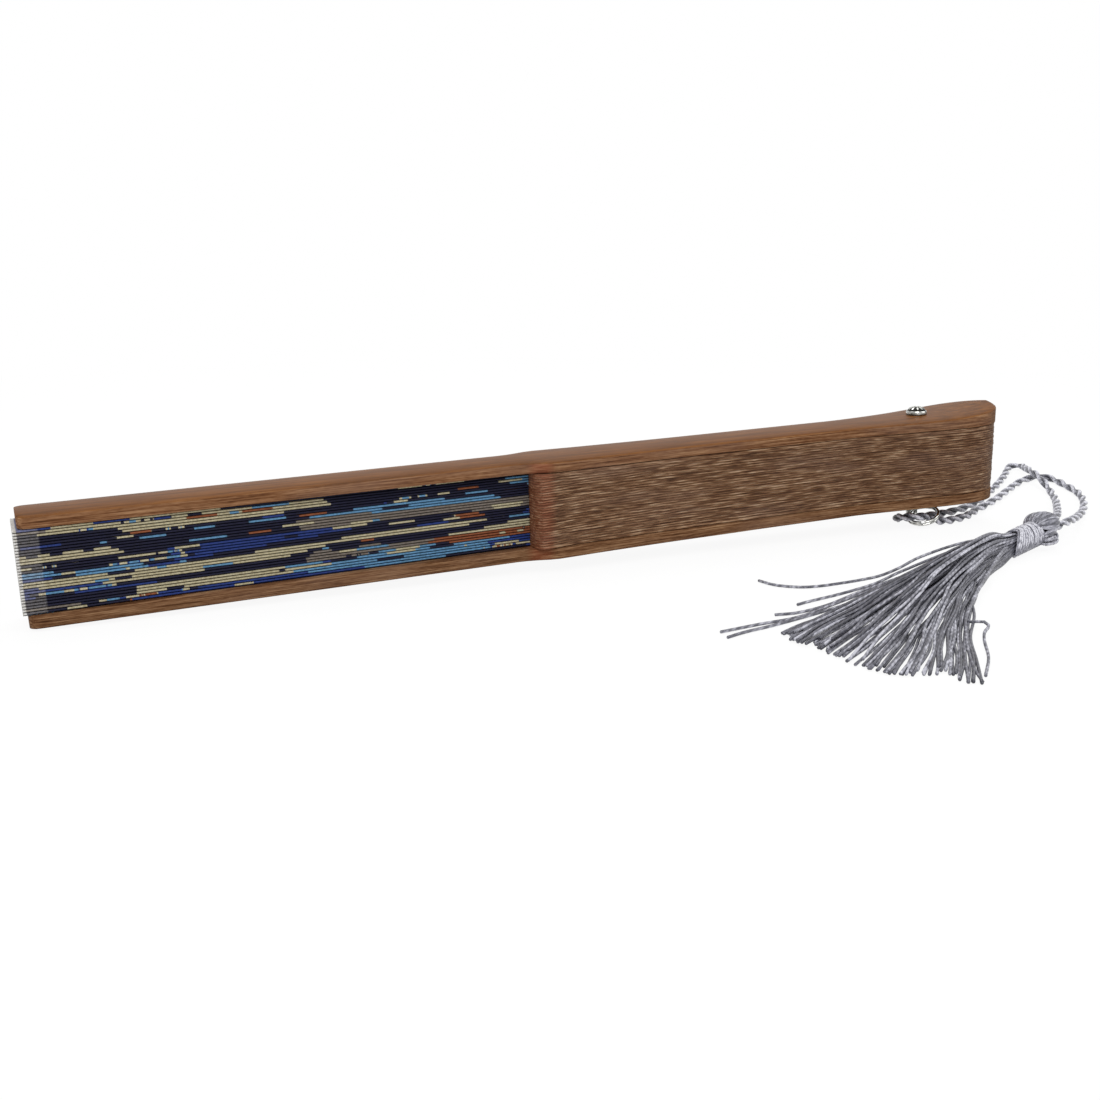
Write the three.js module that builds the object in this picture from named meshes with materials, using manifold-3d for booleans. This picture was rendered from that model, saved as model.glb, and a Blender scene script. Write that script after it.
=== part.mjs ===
// A folding fan lying closed on a table: two guards, the inner ribs and a pleated leaf turn on
// one rivet at the tail, and a tassel hangs from a ring in the rivet's eye.
// Millimetres, +Z up, table at zero. The tip points to -X, the tail to +X.

import * as THREE from "three";
import { mergeVertices } from "three/addons/utils/BufferGeometryUtils.js";
import Module from "manifold-3d";

const wasm = await Module();
wasm.setup();

// Lengths along the fan, measured from the rivet
const RIVET_TO_TIP = 189.5;
const RIVET_TO_TAIL = 20;
const RIVET_TO_SHOULDER = 96.7;
const LEAF_OVERHANG = 0.8;
const LEAF_START_GAP = 0.4;

// Half widths of the sticks
const TIP_HALF = 5.43;
const SHOULDER_HALF = 8.0;
const WAIST_HALF = 6.05;
const HEAD_HALF = 8.7;
const HEAD_WIDEST = 8;
const TAIL_SQUARE = 2.35;
const CORNER = 1.6;
const RIB_INSET = 0.12;

// Thicknesses of the sticks and of the paper
const GUARD_EDGE = 2.15;
const GUARD_CROWN = 0.8;
const HEAD_RELIEF = 0.25;
const FRONT_EDGE = 1.8;
const FRONT_CROWN = 0.7;
const TAIL_SWELL = 1.8;
const SWELL_START = -18;
const RIB_COUNT = 28;
const RIB_THICK = 0.46;
const LEAF_THICK = 0.09;
const RIB_GAP = 0.05;
const LAYER_GAP = 0.04;

// The leaf's pleats and the thin slips that carry them
const PLEAT_HALF_TIP = 5.2;
const PLEAT_HALF_START = 3.6;
const SLIP_HALF_START = 2.4;
const SLIP_HALF_TIP = 1.8;
const SLIP_SHORT_OF_TIP = 1.2;

// The rivet, its washer and its eye
const RIVET_R = 1.45;
const RIVET_CLEARANCE = 0.15;
const RIVET_HEAD_R = 2.45;
const RIVET_HEAD_HIGH = 1.3;
const WASHER_R = 2.4;
const WASHER_THICK = 0.5;
const SEAT_GAP = 0.1;
const EYE_R = 1.15;
const EYE_WIRE_R = 0.42;

// The ring and the cord through it
const RING_R = 3.4;
const RING_WIRE_R = 0.375;
const RING_HEADING = THREE.MathUtils.degToRad(-80);
const RING_DROOP = THREE.MathUtils.degToRad(8);
const RING_ROLL = THREE.MathUtils.degToRad(24);
const CORD_R = 0.95;
const CORD_GAP = 0.3;
const TABLE_GAP = 0.05;

// The tassel: a bound head of folded threads and a loose skirt
const HEAD_HEADING = THREE.MathUtils.degToRad(20);
const NECK_X = -0.7;
const NECK_Y = -33.4;
const NECK_Z = 3.1;
const CORE_R = 2.0;
const BULGE_R = 3.4;
const BULGE_LONG = 5.8;
const BULGE_CLEAR = 0.4;
const BINDING_LONG = 8.4;
const BINDING_TURNS = 7;
const BINDING_R = 0.25;
const BINDING_GAP = 0.3;
const SKIRT_HEADING = THREE.MathUtils.degToRad(208);
const SKIRT_SPREAD = THREE.MathUtils.degToRad(33);
const SKIRT_LONG = 81;
const SKIRT_STRANDS = 30;
const SKIRT_NECK_R = 2.8;
const SKIRT_NECK_LONG = 2.5;

// How the closed fan lies: on its tip, with the tail held up by the ring and the cord
const RIVET_LIFT = 4.9;
const LEAN = Math.asin(RIVET_LIFT / RIVET_TO_TIP);

// Levels through the stack, from the back guard's outer face up
const PITCH = RIB_THICK + RIB_GAP;
const SLIP_THICK = PITCH - 2 * LEAF_THICK - 3 * LAYER_GAP;
const GUARD_THICK = GUARD_EDGE + GUARD_CROWN;
const STACK_BOTTOM = GUARD_THICK;
const STACK_TOP = STACK_BOTTOM + (RIB_COUNT + 1) * PITCH + LEAF_THICK + 2 * LAYER_GAP;
const panelLevel = (k) => STACK_BOTTOM + LAYER_GAP + k * PITCH;
const foldLevel = (k) => panelLevel(k) + LEAF_THICK + LAYER_GAP;

// The fan's own box is centred on X
const LEAF_END = -(RIVET_TO_TIP + LEAF_OVERHANG);
const LEAF_HIGH = panelLevel(RIB_COUNT + 1) + LEAF_THICK;
const BOX_MIN = LEAF_END * Math.cos(LEAN) - LEAF_HIGH * Math.sin(LEAN);
const BOX_MAX = RIVET_TO_TAIL * Math.cos(LEAN);
const RIVET_X = -(BOX_MIN + BOX_MAX) / 2;

// Helpers

function turnedOut(geometry) {
  const at = geometry.getAttribute("position");
  const faces = geometry.index.array;
  const a = new THREE.Vector3();
  const b = new THREE.Vector3();
  const c = new THREE.Vector3();
  let volume = 0;
  for (let i = 0; i < faces.length; i += 3) {
    a.fromBufferAttribute(at, faces[i]);
    b.fromBufferAttribute(at, faces[i + 1]);
    c.fromBufferAttribute(at, faces[i + 2]);
    volume += a.dot(b.cross(c));
  }
  if (volume < 0) {
    for (let i = 0; i < faces.length; i += 3) {
      const swap = faces[i + 1];
      faces[i + 1] = faces[i + 2];
      faces[i + 2] = swap;
    }
  }
  geometry.computeVertexNormals();
  return geometry;
}

// A closed skin over rings of points that all have the same count
function loft(rings, flat) {
  const count = rings[0].length;
  const positions = [];
  const faces = [];
  for (const ring of rings) {
    for (const p of ring) positions.push(p.x, p.y, p.z);
  }
  for (let i = 0; i < rings.length - 1; i++) {
    for (let j = 0; j < count; j++) {
      const a = i * count + j;
      const b = i * count + ((j + 1) % count);
      faces.push(a, b, b + count, a, b + count, a + count);
    }
  }
  const last = (rings.length - 1) * count;
  const clockwise = THREE.ShapeUtils.isClockWise(rings[0].map(flat));
  const cap = (ring, first, facingOn) => {
    for (const [a, b, c] of THREE.ShapeUtils.triangulateShape(ring.map(flat), [])) {
      if (facingOn) faces.push(first + a, first + b, first + c);
      else faces.push(first + a, first + c, first + b);
    }
  };
  cap(rings[0], 0, clockwise);
  cap(rings.at(-1), last, !clockwise);
  const geometry = new THREE.BufferGeometry();
  geometry.setAttribute("position", new THREE.Float32BufferAttribute(positions, 3));
  geometry.setIndex(faces);
  return turnedOut(geometry);
}

const acrossFan = (p) => new THREE.Vector2(p.y, p.z);

function toSolid(geometry) {
  const bare = geometry.clone();
  bare.deleteAttribute("normal");
  bare.deleteAttribute("uv");
  const merged = mergeVertices(bare, 1e-4);
  const mesh = new wasm.Mesh({
    numProp: 3,
    vertProperties: new Float32Array(merged.getAttribute("position").array),
    triVerts: new Uint32Array(merged.index.array),
  });
  return new wasm.Manifold(mesh);
}

function fromSolid(solid) {
  const mesh = solid.getMesh();
  const geometry = new THREE.BufferGeometry();
  geometry.setAttribute("position", new THREE.BufferAttribute(mesh.vertProperties, 3));
  geometry.setIndex(new THREE.BufferAttribute(mesh.triVerts, 1));
  geometry.computeVertexNormals();
  return geometry;
}

function upright(radius, bottom, top, sides) {
  const geometry = new THREE.CylinderGeometry(radius, radius, top - bottom, sides);
  geometry.rotateX(Math.PI / 2);
  geometry.translate(0, 0, (bottom + top) / 2);
  return geometry;
}

function polygon(radius, sides) {
  const points = [];
  for (let i = 0; i < sides; i++) {
    const turn = (2 * Math.PI * i) / sides;
    points.push(new THREE.Vector2(radius * Math.cos(turn), radius * Math.sin(turn)));
  }
  return points;
}

function named(name, geometry, colour, roughness, metalness) {
  const material = new THREE.MeshStandardMaterial({ color: colour, roughness, metalness });
  const mesh = new THREE.Mesh(geometry, material);
  mesh.name = name;
  return mesh;
}

// The sticks' outline: half width at places along the fan, tip first

const TIP_OUTLINE = [
  [-RIVET_TO_TIP, TIP_HALF - CORNER],
  [-RIVET_TO_TIP + 0.3 * CORNER, TIP_HALF - 0.35 * CORNER],
  [-RIVET_TO_TIP + CORNER, TIP_HALF],
  [-RIVET_TO_SHOULDER - 0.2, TIP_HALF],
];
const BODY_OUTLINE = [
  [-RIVET_TO_SHOULDER, SHOULDER_HALF - CORNER],
  [-RIVET_TO_SHOULDER + 0.3 * CORNER, SHOULDER_HALF - 0.3 * CORNER],
  [-RIVET_TO_SHOULDER + CORNER, SHOULDER_HALF],
  [-0.936 * RIVET_TO_SHOULDER, WAIST_HALF + 0.66 * (SHOULDER_HALF - WAIST_HALF)],
  [-0.776 * RIVET_TO_SHOULDER, WAIST_HALF + 0.18 * (SHOULDER_HALF - WAIST_HALF)],
  [-0.59 * RIVET_TO_SHOULDER, WAIST_HALF],
  [-1.05 * RIVET_TO_TAIL, WAIST_HALF],
  [-0.52 * RIVET_TO_TAIL, WAIST_HALF + 0.36 * (HEAD_HALF - WAIST_HALF)],
  [-0.07 * RIVET_TO_TAIL, WAIST_HALF + 0.74 * (HEAD_HALF - WAIST_HALF)],
  [0.2 * RIVET_TO_TAIL, WAIST_HALF + 0.94 * (HEAD_HALF - WAIST_HALF)],
  [HEAD_WIDEST, HEAD_HALF],
];
for (const degrees of [15, 30, 45, 58, 69, 78, 85]) {
  const turn = THREE.MathUtils.degToRad(degrees);
  BODY_OUTLINE.push([
    HEAD_WIDEST + (RIVET_TO_TAIL - HEAD_WIDEST) * Math.sin(turn) ** (2 / TAIL_SQUARE),
    HEAD_HALF * Math.cos(turn) ** (2 / TAIL_SQUARE),
  ]);
}

// Guards: flat inside and crowned outside. The back one is thinned a little round the rivet,
// and the front one has a thinner edge and swells towards the tail.

function backCrown(x, half) {
  const from = -0.59 * RIVET_TO_SHOULDER;
  const to = -1.05 * RIVET_TO_TAIL;
  const ease = THREE.MathUtils.smoothstep(x, from, to);
  const round = x > HEAD_WIDEST ? 0.3 + 0.7 * (half / HEAD_HALF) : 1;
  return (GUARD_CROWN - HEAD_RELIEF * ease) * round;
}

function frontEdge(x) {
  const part = Math.max(0, (x - SWELL_START) / (RIVET_TO_TAIL - SWELL_START));
  return FRONT_EDGE + TAIL_SWELL * part ** 3;
}

function guardGeometry(inner, out) {
  const rings = [];
  for (const [x, half] of [...TIP_OUTLINE, ...BODY_OUTLINE]) {
    const edge = out > 0 ? frontEdge(x) : GUARD_EDGE;
    const crown = out > 0 ? FRONT_CROWN : backCrown(x, half);
    const profile = [
      [-half, 0],
      [-half, edge],
      [-0.82 * half, edge + 0.58 * crown],
      [-0.45 * half, edge + crown],
      [0.45 * half, edge + crown],
      [0.82 * half, edge + 0.58 * crown],
      [half, edge],
      [half, 0],
    ];
    rings.push(profile.map(([y, z]) => new THREE.Vector3(x, y, inner + out * z)));
  }
  const low = inner - GUARD_THICK - 1;
  const high = inner + GUARD_THICK + 1;
  const hole = upright(RIVET_R + RIVET_CLEARANCE, low, high, 20);
  return fromSolid(toSolid(loft(rings, acrossFan)).subtract(toSolid(hole)));
}

// Ribs: a shaped blade as wide as the guards, then a thin slip inside the leaf

function ribGeometry(k) {
  const slipTop = panelLevel(k) - LAYER_GAP;
  const slipBottom = slipTop - SLIP_THICK;
  const bladeBottom = slipBottom - 0.4 * RIB_GAP;
  const upper = BODY_OUTLINE.map(([x, half]) => new THREE.Vector2(x, half - RIB_INSET));
  const lower = upper.map((p) => new THREE.Vector2(p.x, -p.y)).reverse();
  const shape = new THREE.Shape([...upper, ...lower]);
  shape.holes.push(new THREE.Path(polygon(RIVET_R + RIVET_CLEARANCE, 14)));
  const blade = new THREE.ExtrudeGeometry(shape, { depth: RIB_THICK, bevelEnabled: false });
  blade.translate(0, 0, bladeBottom);
  const rings = [
    [-(RIVET_TO_TIP - SLIP_SHORT_OF_TIP), SLIP_HALF_TIP],
    [-(RIVET_TO_SHOULDER - 2 * CORNER), SLIP_HALF_START],
  ].map(([x, half]) => [
    new THREE.Vector3(x, -half, slipBottom),
    new THREE.Vector3(x, half, slipBottom),
    new THREE.Vector3(x, half, slipTop),
    new THREE.Vector3(x, -half, slipTop),
  ]);
  return fromSolid(toSolid(blade).add(toSolid(loft(rings, acrossFan))));
}

// Leaf: one pleated sheet, a panel on every stick and a free panel between each two

function leafRing(x, half) {
  const points = [];
  const put = (y, z) => points.push(new THREE.Vector3(x, y, z));
  const last = RIB_COUNT + 1;
  for (let k = 0; k < last; k++) {
    put(half, panelLevel(k));
    put(half, foldLevel(k) + LEAF_THICK);
    put(-half + LEAF_THICK, foldLevel(k) + LEAF_THICK);
    put(-half + LEAF_THICK, panelLevel(k + 1));
  }
  put(half, panelLevel(last));
  put(half, panelLevel(last) + LEAF_THICK);
  for (let k = last - 1; k >= 0; k--) {
    put(-half, panelLevel(k + 1) + LEAF_THICK);
    put(-half, foldLevel(k));
    put(half - LEAF_THICK, foldLevel(k));
    put(half - LEAF_THICK, panelLevel(k) + LEAF_THICK);
  }
  put(-half, panelLevel(0) + LEAF_THICK);
  put(-half, panelLevel(0));
  return points;
}

function leafGeometry() {
  const start = -(RIVET_TO_SHOULDER + LEAF_START_GAP);
  const rings = [leafRing(LEAF_END, PLEAT_HALF_TIP), leafRing(start, PLEAT_HALF_START)];
  return loft(rings, acrossFan);
}

// Rivet: a domed head, a plain shank and an eye below for the ring

const BACK_FACE = HEAD_RELIEF;
const FRONT_FACE = STACK_TOP + frontEdge(RIVET_HEAD_R) + FRONT_CROWN;
const WASHER_TOP = BACK_FACE - SEAT_GAP;
const WASHER_BOTTOM = WASHER_TOP - WASHER_THICK;
const SHANK_BOTTOM = WASHER_BOTTOM - 0.4;
const EYE_LEVEL = SHANK_BOTTOM - EYE_R + 0.25;

function rivetGeometry() {
  const seat = FRONT_FACE + SEAT_GAP;
  const profile = [
    [0, SHANK_BOTTOM],
    [RIVET_R, SHANK_BOTTOM],
    [RIVET_R, seat],
    [RIVET_HEAD_R, seat],
    [RIVET_HEAD_R, seat + 0.18 * RIVET_HEAD_HIGH],
    [0.92 * RIVET_HEAD_R, seat + 0.48 * RIVET_HEAD_HIGH],
    [0.68 * RIVET_HEAD_R, seat + 0.8 * RIVET_HEAD_HIGH],
    [0.34 * RIVET_HEAD_R, seat + 0.96 * RIVET_HEAD_HIGH],
    [0, seat + RIVET_HEAD_HIGH],
  ].map(([r, z]) => new THREE.Vector2(r, z));
  const body = new THREE.LatheGeometry(profile, 20);
  body.rotateX(Math.PI / 2);
  const eye = new THREE.TorusGeometry(EYE_R, EYE_WIRE_R, 8, 16);
  eye.rotateY(Math.PI / 2);
  eye.rotateZ(RING_HEADING + Math.PI / 2);
  eye.translate(0, 0, EYE_LEVEL);
  return fromSolid(toSolid(body).add(toSolid(eye)));
}

function washerGeometry() {
  const disc = upright(WASHER_R, WASHER_BOTTOM, WASHER_TOP, 20);
  const hole = upright(RIVET_R + RIVET_CLEARANCE, WASHER_BOTTOM - 1, WASHER_TOP + 1, 20);
  return fromSolid(toSolid(disc).subtract(toSolid(hole)));
}

// Ring: it hangs through the eye and leans down onto the cord, with its left side lower.
// Places from here on are measured from the foot of the rivet on the table.

const EYE = new THREE.Vector3(
  -EYE_LEVEL * Math.sin(LEAN),
  0,
  RIVET_LIFT + EYE_LEVEL * Math.cos(LEAN),
);
const RING_OUT = new THREE.Vector3(
  Math.cos(RING_HEADING) * Math.cos(RING_DROOP),
  Math.sin(RING_HEADING) * Math.cos(RING_DROOP),
  -Math.sin(RING_DROOP),
);
const RING_SIDE = new THREE.Vector3(-Math.sin(RING_HEADING), Math.cos(RING_HEADING), 0);
RING_SIDE.applyAxisAngle(RING_OUT, RING_ROLL);
const RING_CENTRE = EYE.clone().addScaledVector(RING_OUT, RING_R);

function ringGeometry() {
  const geometry = new THREE.TorusGeometry(RING_R, RING_WIRE_R, 8, 28);
  const back = RING_OUT.clone().negate();
  const axis = RING_SIDE.clone().cross(back);
  const place = new THREE.Matrix4().makeBasis(RING_SIDE, back, axis);
  place.setPosition(RING_CENTRE);
  geometry.applyMatrix4(place);
  return geometry;
}

// Tassel: its axis runs up from the neck to a flat end where the two strands come out, with
// the skirt spread the other way

const NECK = new THREE.Vector3(NECK_X, NECK_Y, NECK_Z);
const BULGE_RISE = BULGE_R + BULGE_CLEAR - NECK_Z;
const BULGE_AT = BINDING_LONG + 0.45 * BULGE_LONG;
const HEAD_LONG = BINDING_LONG + BULGE_LONG;
const HEAD_RISE = Math.atan2(BULGE_RISE, BULGE_AT);
const HEAD_FACE_R = 2 * CORD_R + CORD_GAP / 2;
const HEAD_WAY = new THREE.Vector3(
  Math.cos(HEAD_HEADING) * Math.cos(HEAD_RISE),
  Math.sin(HEAD_HEADING) * Math.cos(HEAD_RISE),
  Math.sin(HEAD_RISE),
);
const HEAD_SIDE = new THREE.Vector3(-Math.sin(HEAD_HEADING), Math.cos(HEAD_HEADING), 0);

// Where a strand leaves the head's end, on one side of its middle
function strandEnd(side) {
  const end = NECK.clone().addScaledVector(HEAD_WAY, HEAD_LONG + CORD_GAP);
  end.addScaledVector(HEAD_SIDE, side * (CORD_R + CORD_GAP / 2));
  return end.toArray();
}

// Cord: from the tassel's head out in a loop to the ring, once through the ring, and back

const LOW = CORD_R + TABLE_GAP;
const CROSS = LOW + 2 * CORD_R + CORD_GAP;
const RING_LEFT = RING_CENTRE.clone()
  .addScaledVector(RING_OUT, 0.47 * RING_R)
  .addScaledVector(RING_SIDE, -0.883 * RING_R);
const OVER = RING_LEFT.z + RING_WIRE_R + CORD_R + CORD_GAP;

const STRAND_1 = [
  strandEnd(1),
  [17.4, -25.2, 4.2],
  [23.4, -20.6, 3.9],
  [30.4, -14.0, 2.9],
  [39.2, -5.2, 1.8],
  [47.2, 3.2, 1.1],
  [52.6, 9.8, LOW],
  [55.8, 14.6, 1.5],
  [57.5, 18.6, 2.6],
  [59.3, 22.6, CROSS],
  [61.6, 26.8, CROSS],
  [64.6, 31.0, 2.65],
  [67.9, 35.2, 2.05],
  [70.8, 38.8, 1.55],
  [72.1, 41.1, 1.3],
  [71.9, 42.3, 1.2],
  [70.9, 42.9, 1.1],
  [69.5, 42.5, 1.05],
  [64.2, 38.0, LOW],
  [58.8, 33.1, LOW],
  [53.2, 28.3, 1.1],
  [47.5, 23.7, LOW],
  [41.6, 19.2, LOW],
  [35.8, 14.7, LOW],
  [30.6, 10.9, LOW],
  [25.2, 7.5, LOW],
  [19.4, 4.7, LOW],
  [13.8, 2.9, LOW],
  [8.6, 2.0, LOW],
];
const BIGHT = [
  [8.6, 2.0, LOW],
  [5.0, 1.8, LOW],
  [1.8, 2.0, LOW],
  [-1.0, 2.0, LOW + 0.1],
  [-3.0, 1.2, LOW + 0.4],
  [-4.1, -0.4, LOW + 1],
  [-4.2, -2.5, OVER - 0.3],
  [RING_LEFT.x - 1.2, RING_LEFT.y + 0.5, OVER],
  [RING_LEFT.x + 0.9, RING_LEFT.y + 0.1, OVER - 0.1],
  [1.4, -4.3, 1.9],
  [4.2, -4.1, 1.25],
  [7.0, -4.1, LOW],
  [9.8, -3.6, LOW],
];
const STRAND_2 = [
  [9.8, -3.6, LOW],
  [13.8, -2.4, LOW],
  [18.2, 0.1, LOW],
  [22.8, 3.1, LOW],
  [27.2, 5.5, LOW],
  [31.4, 8.0, LOW],
  [35.4, 10.5, LOW],
  [39.9, 13.6, LOW],
  [44.7, 17.0, LOW],
  [49.8, 20.4, LOW],
  [55.0, 23.9, LOW],
  [59.4, 26.2, LOW],
  [63.2, 27.6, LOW],
  [65.8, 27.7, LOW],
  [67.1, 26.0, LOW],
  [66.6, 22.9, LOW],
  [64.9, 18.9, LOW],
  [62.7, 14.2, LOW],
  [60.2, 9.3, LOW],
  [57.0, 4.6, LOW],
  [53.0, -0.1, LOW],
  [48.4, -4.8, LOW],
  [42.3, -10.1, 1.2],
  [35.0, -15.9, 2],
  [27.4, -21.8, CROSS],
  [21.8, -25.7, 4],
  [17.4, -28.0, 4.2],
  strandEnd(-1),
];

function cordGeometry(route, steps, trimStart, trimEnd) {
  const points = route.map(([x, y, z]) => new THREE.Vector3(x, y, z));
  const pull = (end, next, by) => end.add(next.clone().sub(end).setLength(by));
  if (trimStart) pull(points[0], points[1], CORD_GAP / 2);
  if (trimEnd) pull(points.at(-1), points.at(-2), CORD_GAP / 2);
  const path = new THREE.CatmullRomCurve3(points, false, "centripetal");
  const section = new THREE.Shape(polygon(CORD_R, 8));
  return new THREE.ExtrudeGeometry(section, { steps, extrudePath: path, bevelEnabled: false });
}

// The tassel's pieces, turned along its axis

function alongHead(geometry) {
  geometry.rotateY(-HEAD_RISE);
  geometry.rotateZ(HEAD_HEADING);
  geometry.translate(NECK.x, NECK.y, NECK.z);
  return geometry;
}

function headGeometry() {
  const profile = [
    [0, 0],
    [CORE_R, 0],
    [CORE_R, BINDING_LONG],
    [0.72 * BULGE_R, BINDING_LONG + 0.12 * BULGE_LONG],
    [0.93 * BULGE_R, BINDING_LONG + 0.27 * BULGE_LONG],
    [BULGE_R, BULGE_AT],
    [0.95 * BULGE_R, BINDING_LONG + 0.65 * BULGE_LONG],
    [0.8 * BULGE_R, BINDING_LONG + 0.84 * BULGE_LONG],
    [0.65 * BULGE_R, BINDING_LONG + 0.94 * BULGE_LONG],
    [HEAD_FACE_R, HEAD_LONG],
    [0, HEAD_LONG],
  ].map(([r, s]) => new THREE.Vector2(r, s));
  const geometry = new THREE.LatheGeometry(profile, 18);
  geometry.rotateZ(-Math.PI / 2);
  return alongHead(mergeVertices(geometry));
}

function bindingGeometry() {
  const radius = CORE_R + BINDING_GAP + BINDING_R;
  const pitch = (BINDING_LONG - 2 * BINDING_R - BINDING_GAP) / BINDING_TURNS;
  const start = BINDING_R;
  class Turns extends THREE.Curve {
    getPoint(t, target = new THREE.Vector3()) {
      const turn = 2 * Math.PI * BINDING_TURNS * t;
      const along = start + pitch * BINDING_TURNS * t;
      return target.set(along, radius * Math.cos(turn), radius * Math.sin(turn));
    }
  }
  const path = new Turns();
  let least = Infinity;
  const probe = path.getPoints(BINDING_TURNS * 48);
  for (let i = 0; i < probe.length; i++) {
    for (let j = i + 24; j < probe.length; j++) {
      least = Math.min(least, probe[i].distanceTo(probe[j]) - 2 * BINDING_R);
    }
  }
  console.log("binding: least gap to itself " + least.toFixed(3) + " mm");
  const section = new THREE.Shape(polygon(BINDING_R, 6));
  const steps = 24 * BINDING_TURNS;
  const settings = { steps, extrudePath: path, bevelEnabled: false };
  return alongHead(new THREE.ExtrudeGeometry(section, settings));
}

function skirtGeometry() {
  const disc = new THREE.CylinderGeometry(SKIRT_NECK_R, SKIRT_NECK_R, SKIRT_NECK_LONG, 20);
  disc.rotateZ(Math.PI / 2);
  disc.translate(-BINDING_GAP - SKIRT_NECK_LONG / 2, 0, 0);
  disc.rotateZ(HEAD_HEADING);
  disc.translate(NECK.x, NECK.y, NECK.z);
  let whole = toSolid(disc);
  const axis = new THREE.Vector3(Math.cos(HEAD_HEADING), Math.sin(HEAD_HEADING), 0);
  const across = new THREE.Vector3(axis.y, -axis.x, 0);
  const root = NECK.clone().addScaledVector(axis, -BINDING_GAP - 0.7 * SKIRT_NECK_LONG);
  const layers = 3;
  for (let i = 0; i < SKIRT_STRANDS; i++) {
    const place = i / (SKIRT_STRANDS - 1) - 0.5;
    const layer = i % layers;
    const heading = SKIRT_HEADING + place * SKIRT_SPREAD;
    const way = new THREE.Vector3(Math.cos(heading), Math.sin(heading), 0);
    const reach = SKIRT_LONG * (1 + 0.03 * Math.cos(5 * i));
    const from = root.clone().addScaledVector(across, -1.5 * SKIRT_NECK_R * place);
    from.z += (layer - 1) * 0.54 * SKIRT_NECK_R;
    const rings = [
      [0, 0.3, from.z],
      [0.55, 1.1, 0.55 + TABLE_GAP + 1.25 * layer],
      [1, 0.9, 0.45 + TABLE_GAP],
    ].map(([part, wide, level]) => {
      const at = from.clone().addScaledVector(way, part * reach);
      const side = new THREE.Vector3(-way.y, way.x, 0).multiplyScalar(wide / 2);
      return [
        new THREE.Vector3(at.x - side.x, at.y - side.y, level - wide / 2),
        new THREE.Vector3(at.x + side.x, at.y + side.y, level - wide / 2),
        new THREE.Vector3(at.x + side.x, at.y + side.y, level + wide / 2),
        new THREE.Vector3(at.x - side.x, at.y - side.y, level + wide / 2),
      ];
    });
    const flat = (p) => new THREE.Vector2(-way.y * p.x + way.x * p.y, p.z);
    whole = whole.add(toSolid(loft(rings, flat)));
  }
  return fromSolid(whole);
}

// The whole fan

const BAMBOO = 0x8a5f3f;
const RIB_BAMBOO = 0x7f573a;
const PAPER = 0xcfc6a0;
const SILVER = 0xb9b9b9;
const CORD_GREY = 0x8d8d9b;

const sticks = new THREE.Group();
sticks.name = "sticks";
sticks.add(named("back_guard", guardGeometry(STACK_BOTTOM, -1), BAMBOO, 0.45, 0));
for (let k = 1; k <= RIB_COUNT; k++) {
  const name = "rib_" + String(k).padStart(2, "0");
  sticks.add(named(name, ribGeometry(k), RIB_BAMBOO, 0.55, 0));
}
sticks.add(named("front_guard", guardGeometry(STACK_TOP, 1), BAMBOO, 0.45, 0));

const fan = new THREE.Group();
fan.name = "fan";
fan.add(sticks);
fan.add(named("leaf", leafGeometry(), PAPER, 0.85, 0));
fan.add(named("rivet", rivetGeometry(), SILVER, 0.3, 1));
fan.add(named("rivet_washer", washerGeometry(), SILVER, 0.35, 1));
fan.position.set(RIVET_X, 0, RIVET_LIFT);
fan.rotation.y = -LEAN;

const pendant = new THREE.Group();
pendant.name = "pendant";
pendant.add(named("ring", ringGeometry(), SILVER, 0.3, 1));
pendant.add(named("cord_strand_1", cordGeometry(STRAND_1, 100, false, true), CORD_GREY, 0.6, 0));
pendant.add(named("cord_bight", cordGeometry(BIGHT, 34, true, true), CORD_GREY, 0.6, 0));
pendant.add(named("cord_strand_2", cordGeometry(STRAND_2, 76, true, false), CORD_GREY, 0.6, 0));
pendant.add(named("tassel_head", headGeometry(), CORD_GREY, 0.6, 0));
pendant.add(named("tassel_binding", bindingGeometry(), CORD_GREY, 0.45, 0));
pendant.add(named("tassel_skirt", skirtGeometry(), CORD_GREY, 0.6, 0));
pendant.position.set(RIVET_X, 0, 0);

const foldingFan = new THREE.Group();
foldingFan.name = "folding_fan";
foldingFan.add(fan);
foldingFan.add(pendant);

export default foldingFan;
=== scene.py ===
import random
from functools import partial
from math import asin, atan2, cos, degrees, exp, floor, hypot, pi, radians, sin, sqrt

import bmesh
import bpy
import numpy as np
from mathutils import Matrix, Vector


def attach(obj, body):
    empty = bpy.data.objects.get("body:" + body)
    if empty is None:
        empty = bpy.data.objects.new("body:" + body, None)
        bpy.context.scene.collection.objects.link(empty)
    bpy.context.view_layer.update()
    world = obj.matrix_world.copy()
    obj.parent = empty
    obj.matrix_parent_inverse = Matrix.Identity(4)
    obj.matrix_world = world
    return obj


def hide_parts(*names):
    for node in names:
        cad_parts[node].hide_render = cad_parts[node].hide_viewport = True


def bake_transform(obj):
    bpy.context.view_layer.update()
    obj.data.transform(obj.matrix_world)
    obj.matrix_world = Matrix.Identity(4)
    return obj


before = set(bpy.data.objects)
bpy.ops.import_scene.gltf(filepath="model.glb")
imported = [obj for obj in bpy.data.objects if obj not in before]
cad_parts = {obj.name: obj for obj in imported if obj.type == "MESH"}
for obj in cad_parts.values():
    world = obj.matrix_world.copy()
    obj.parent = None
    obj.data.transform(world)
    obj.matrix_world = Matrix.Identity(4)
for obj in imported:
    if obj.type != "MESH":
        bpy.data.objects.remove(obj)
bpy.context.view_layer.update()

SCENE = bpy.context.scene
MM = 0.001

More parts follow.
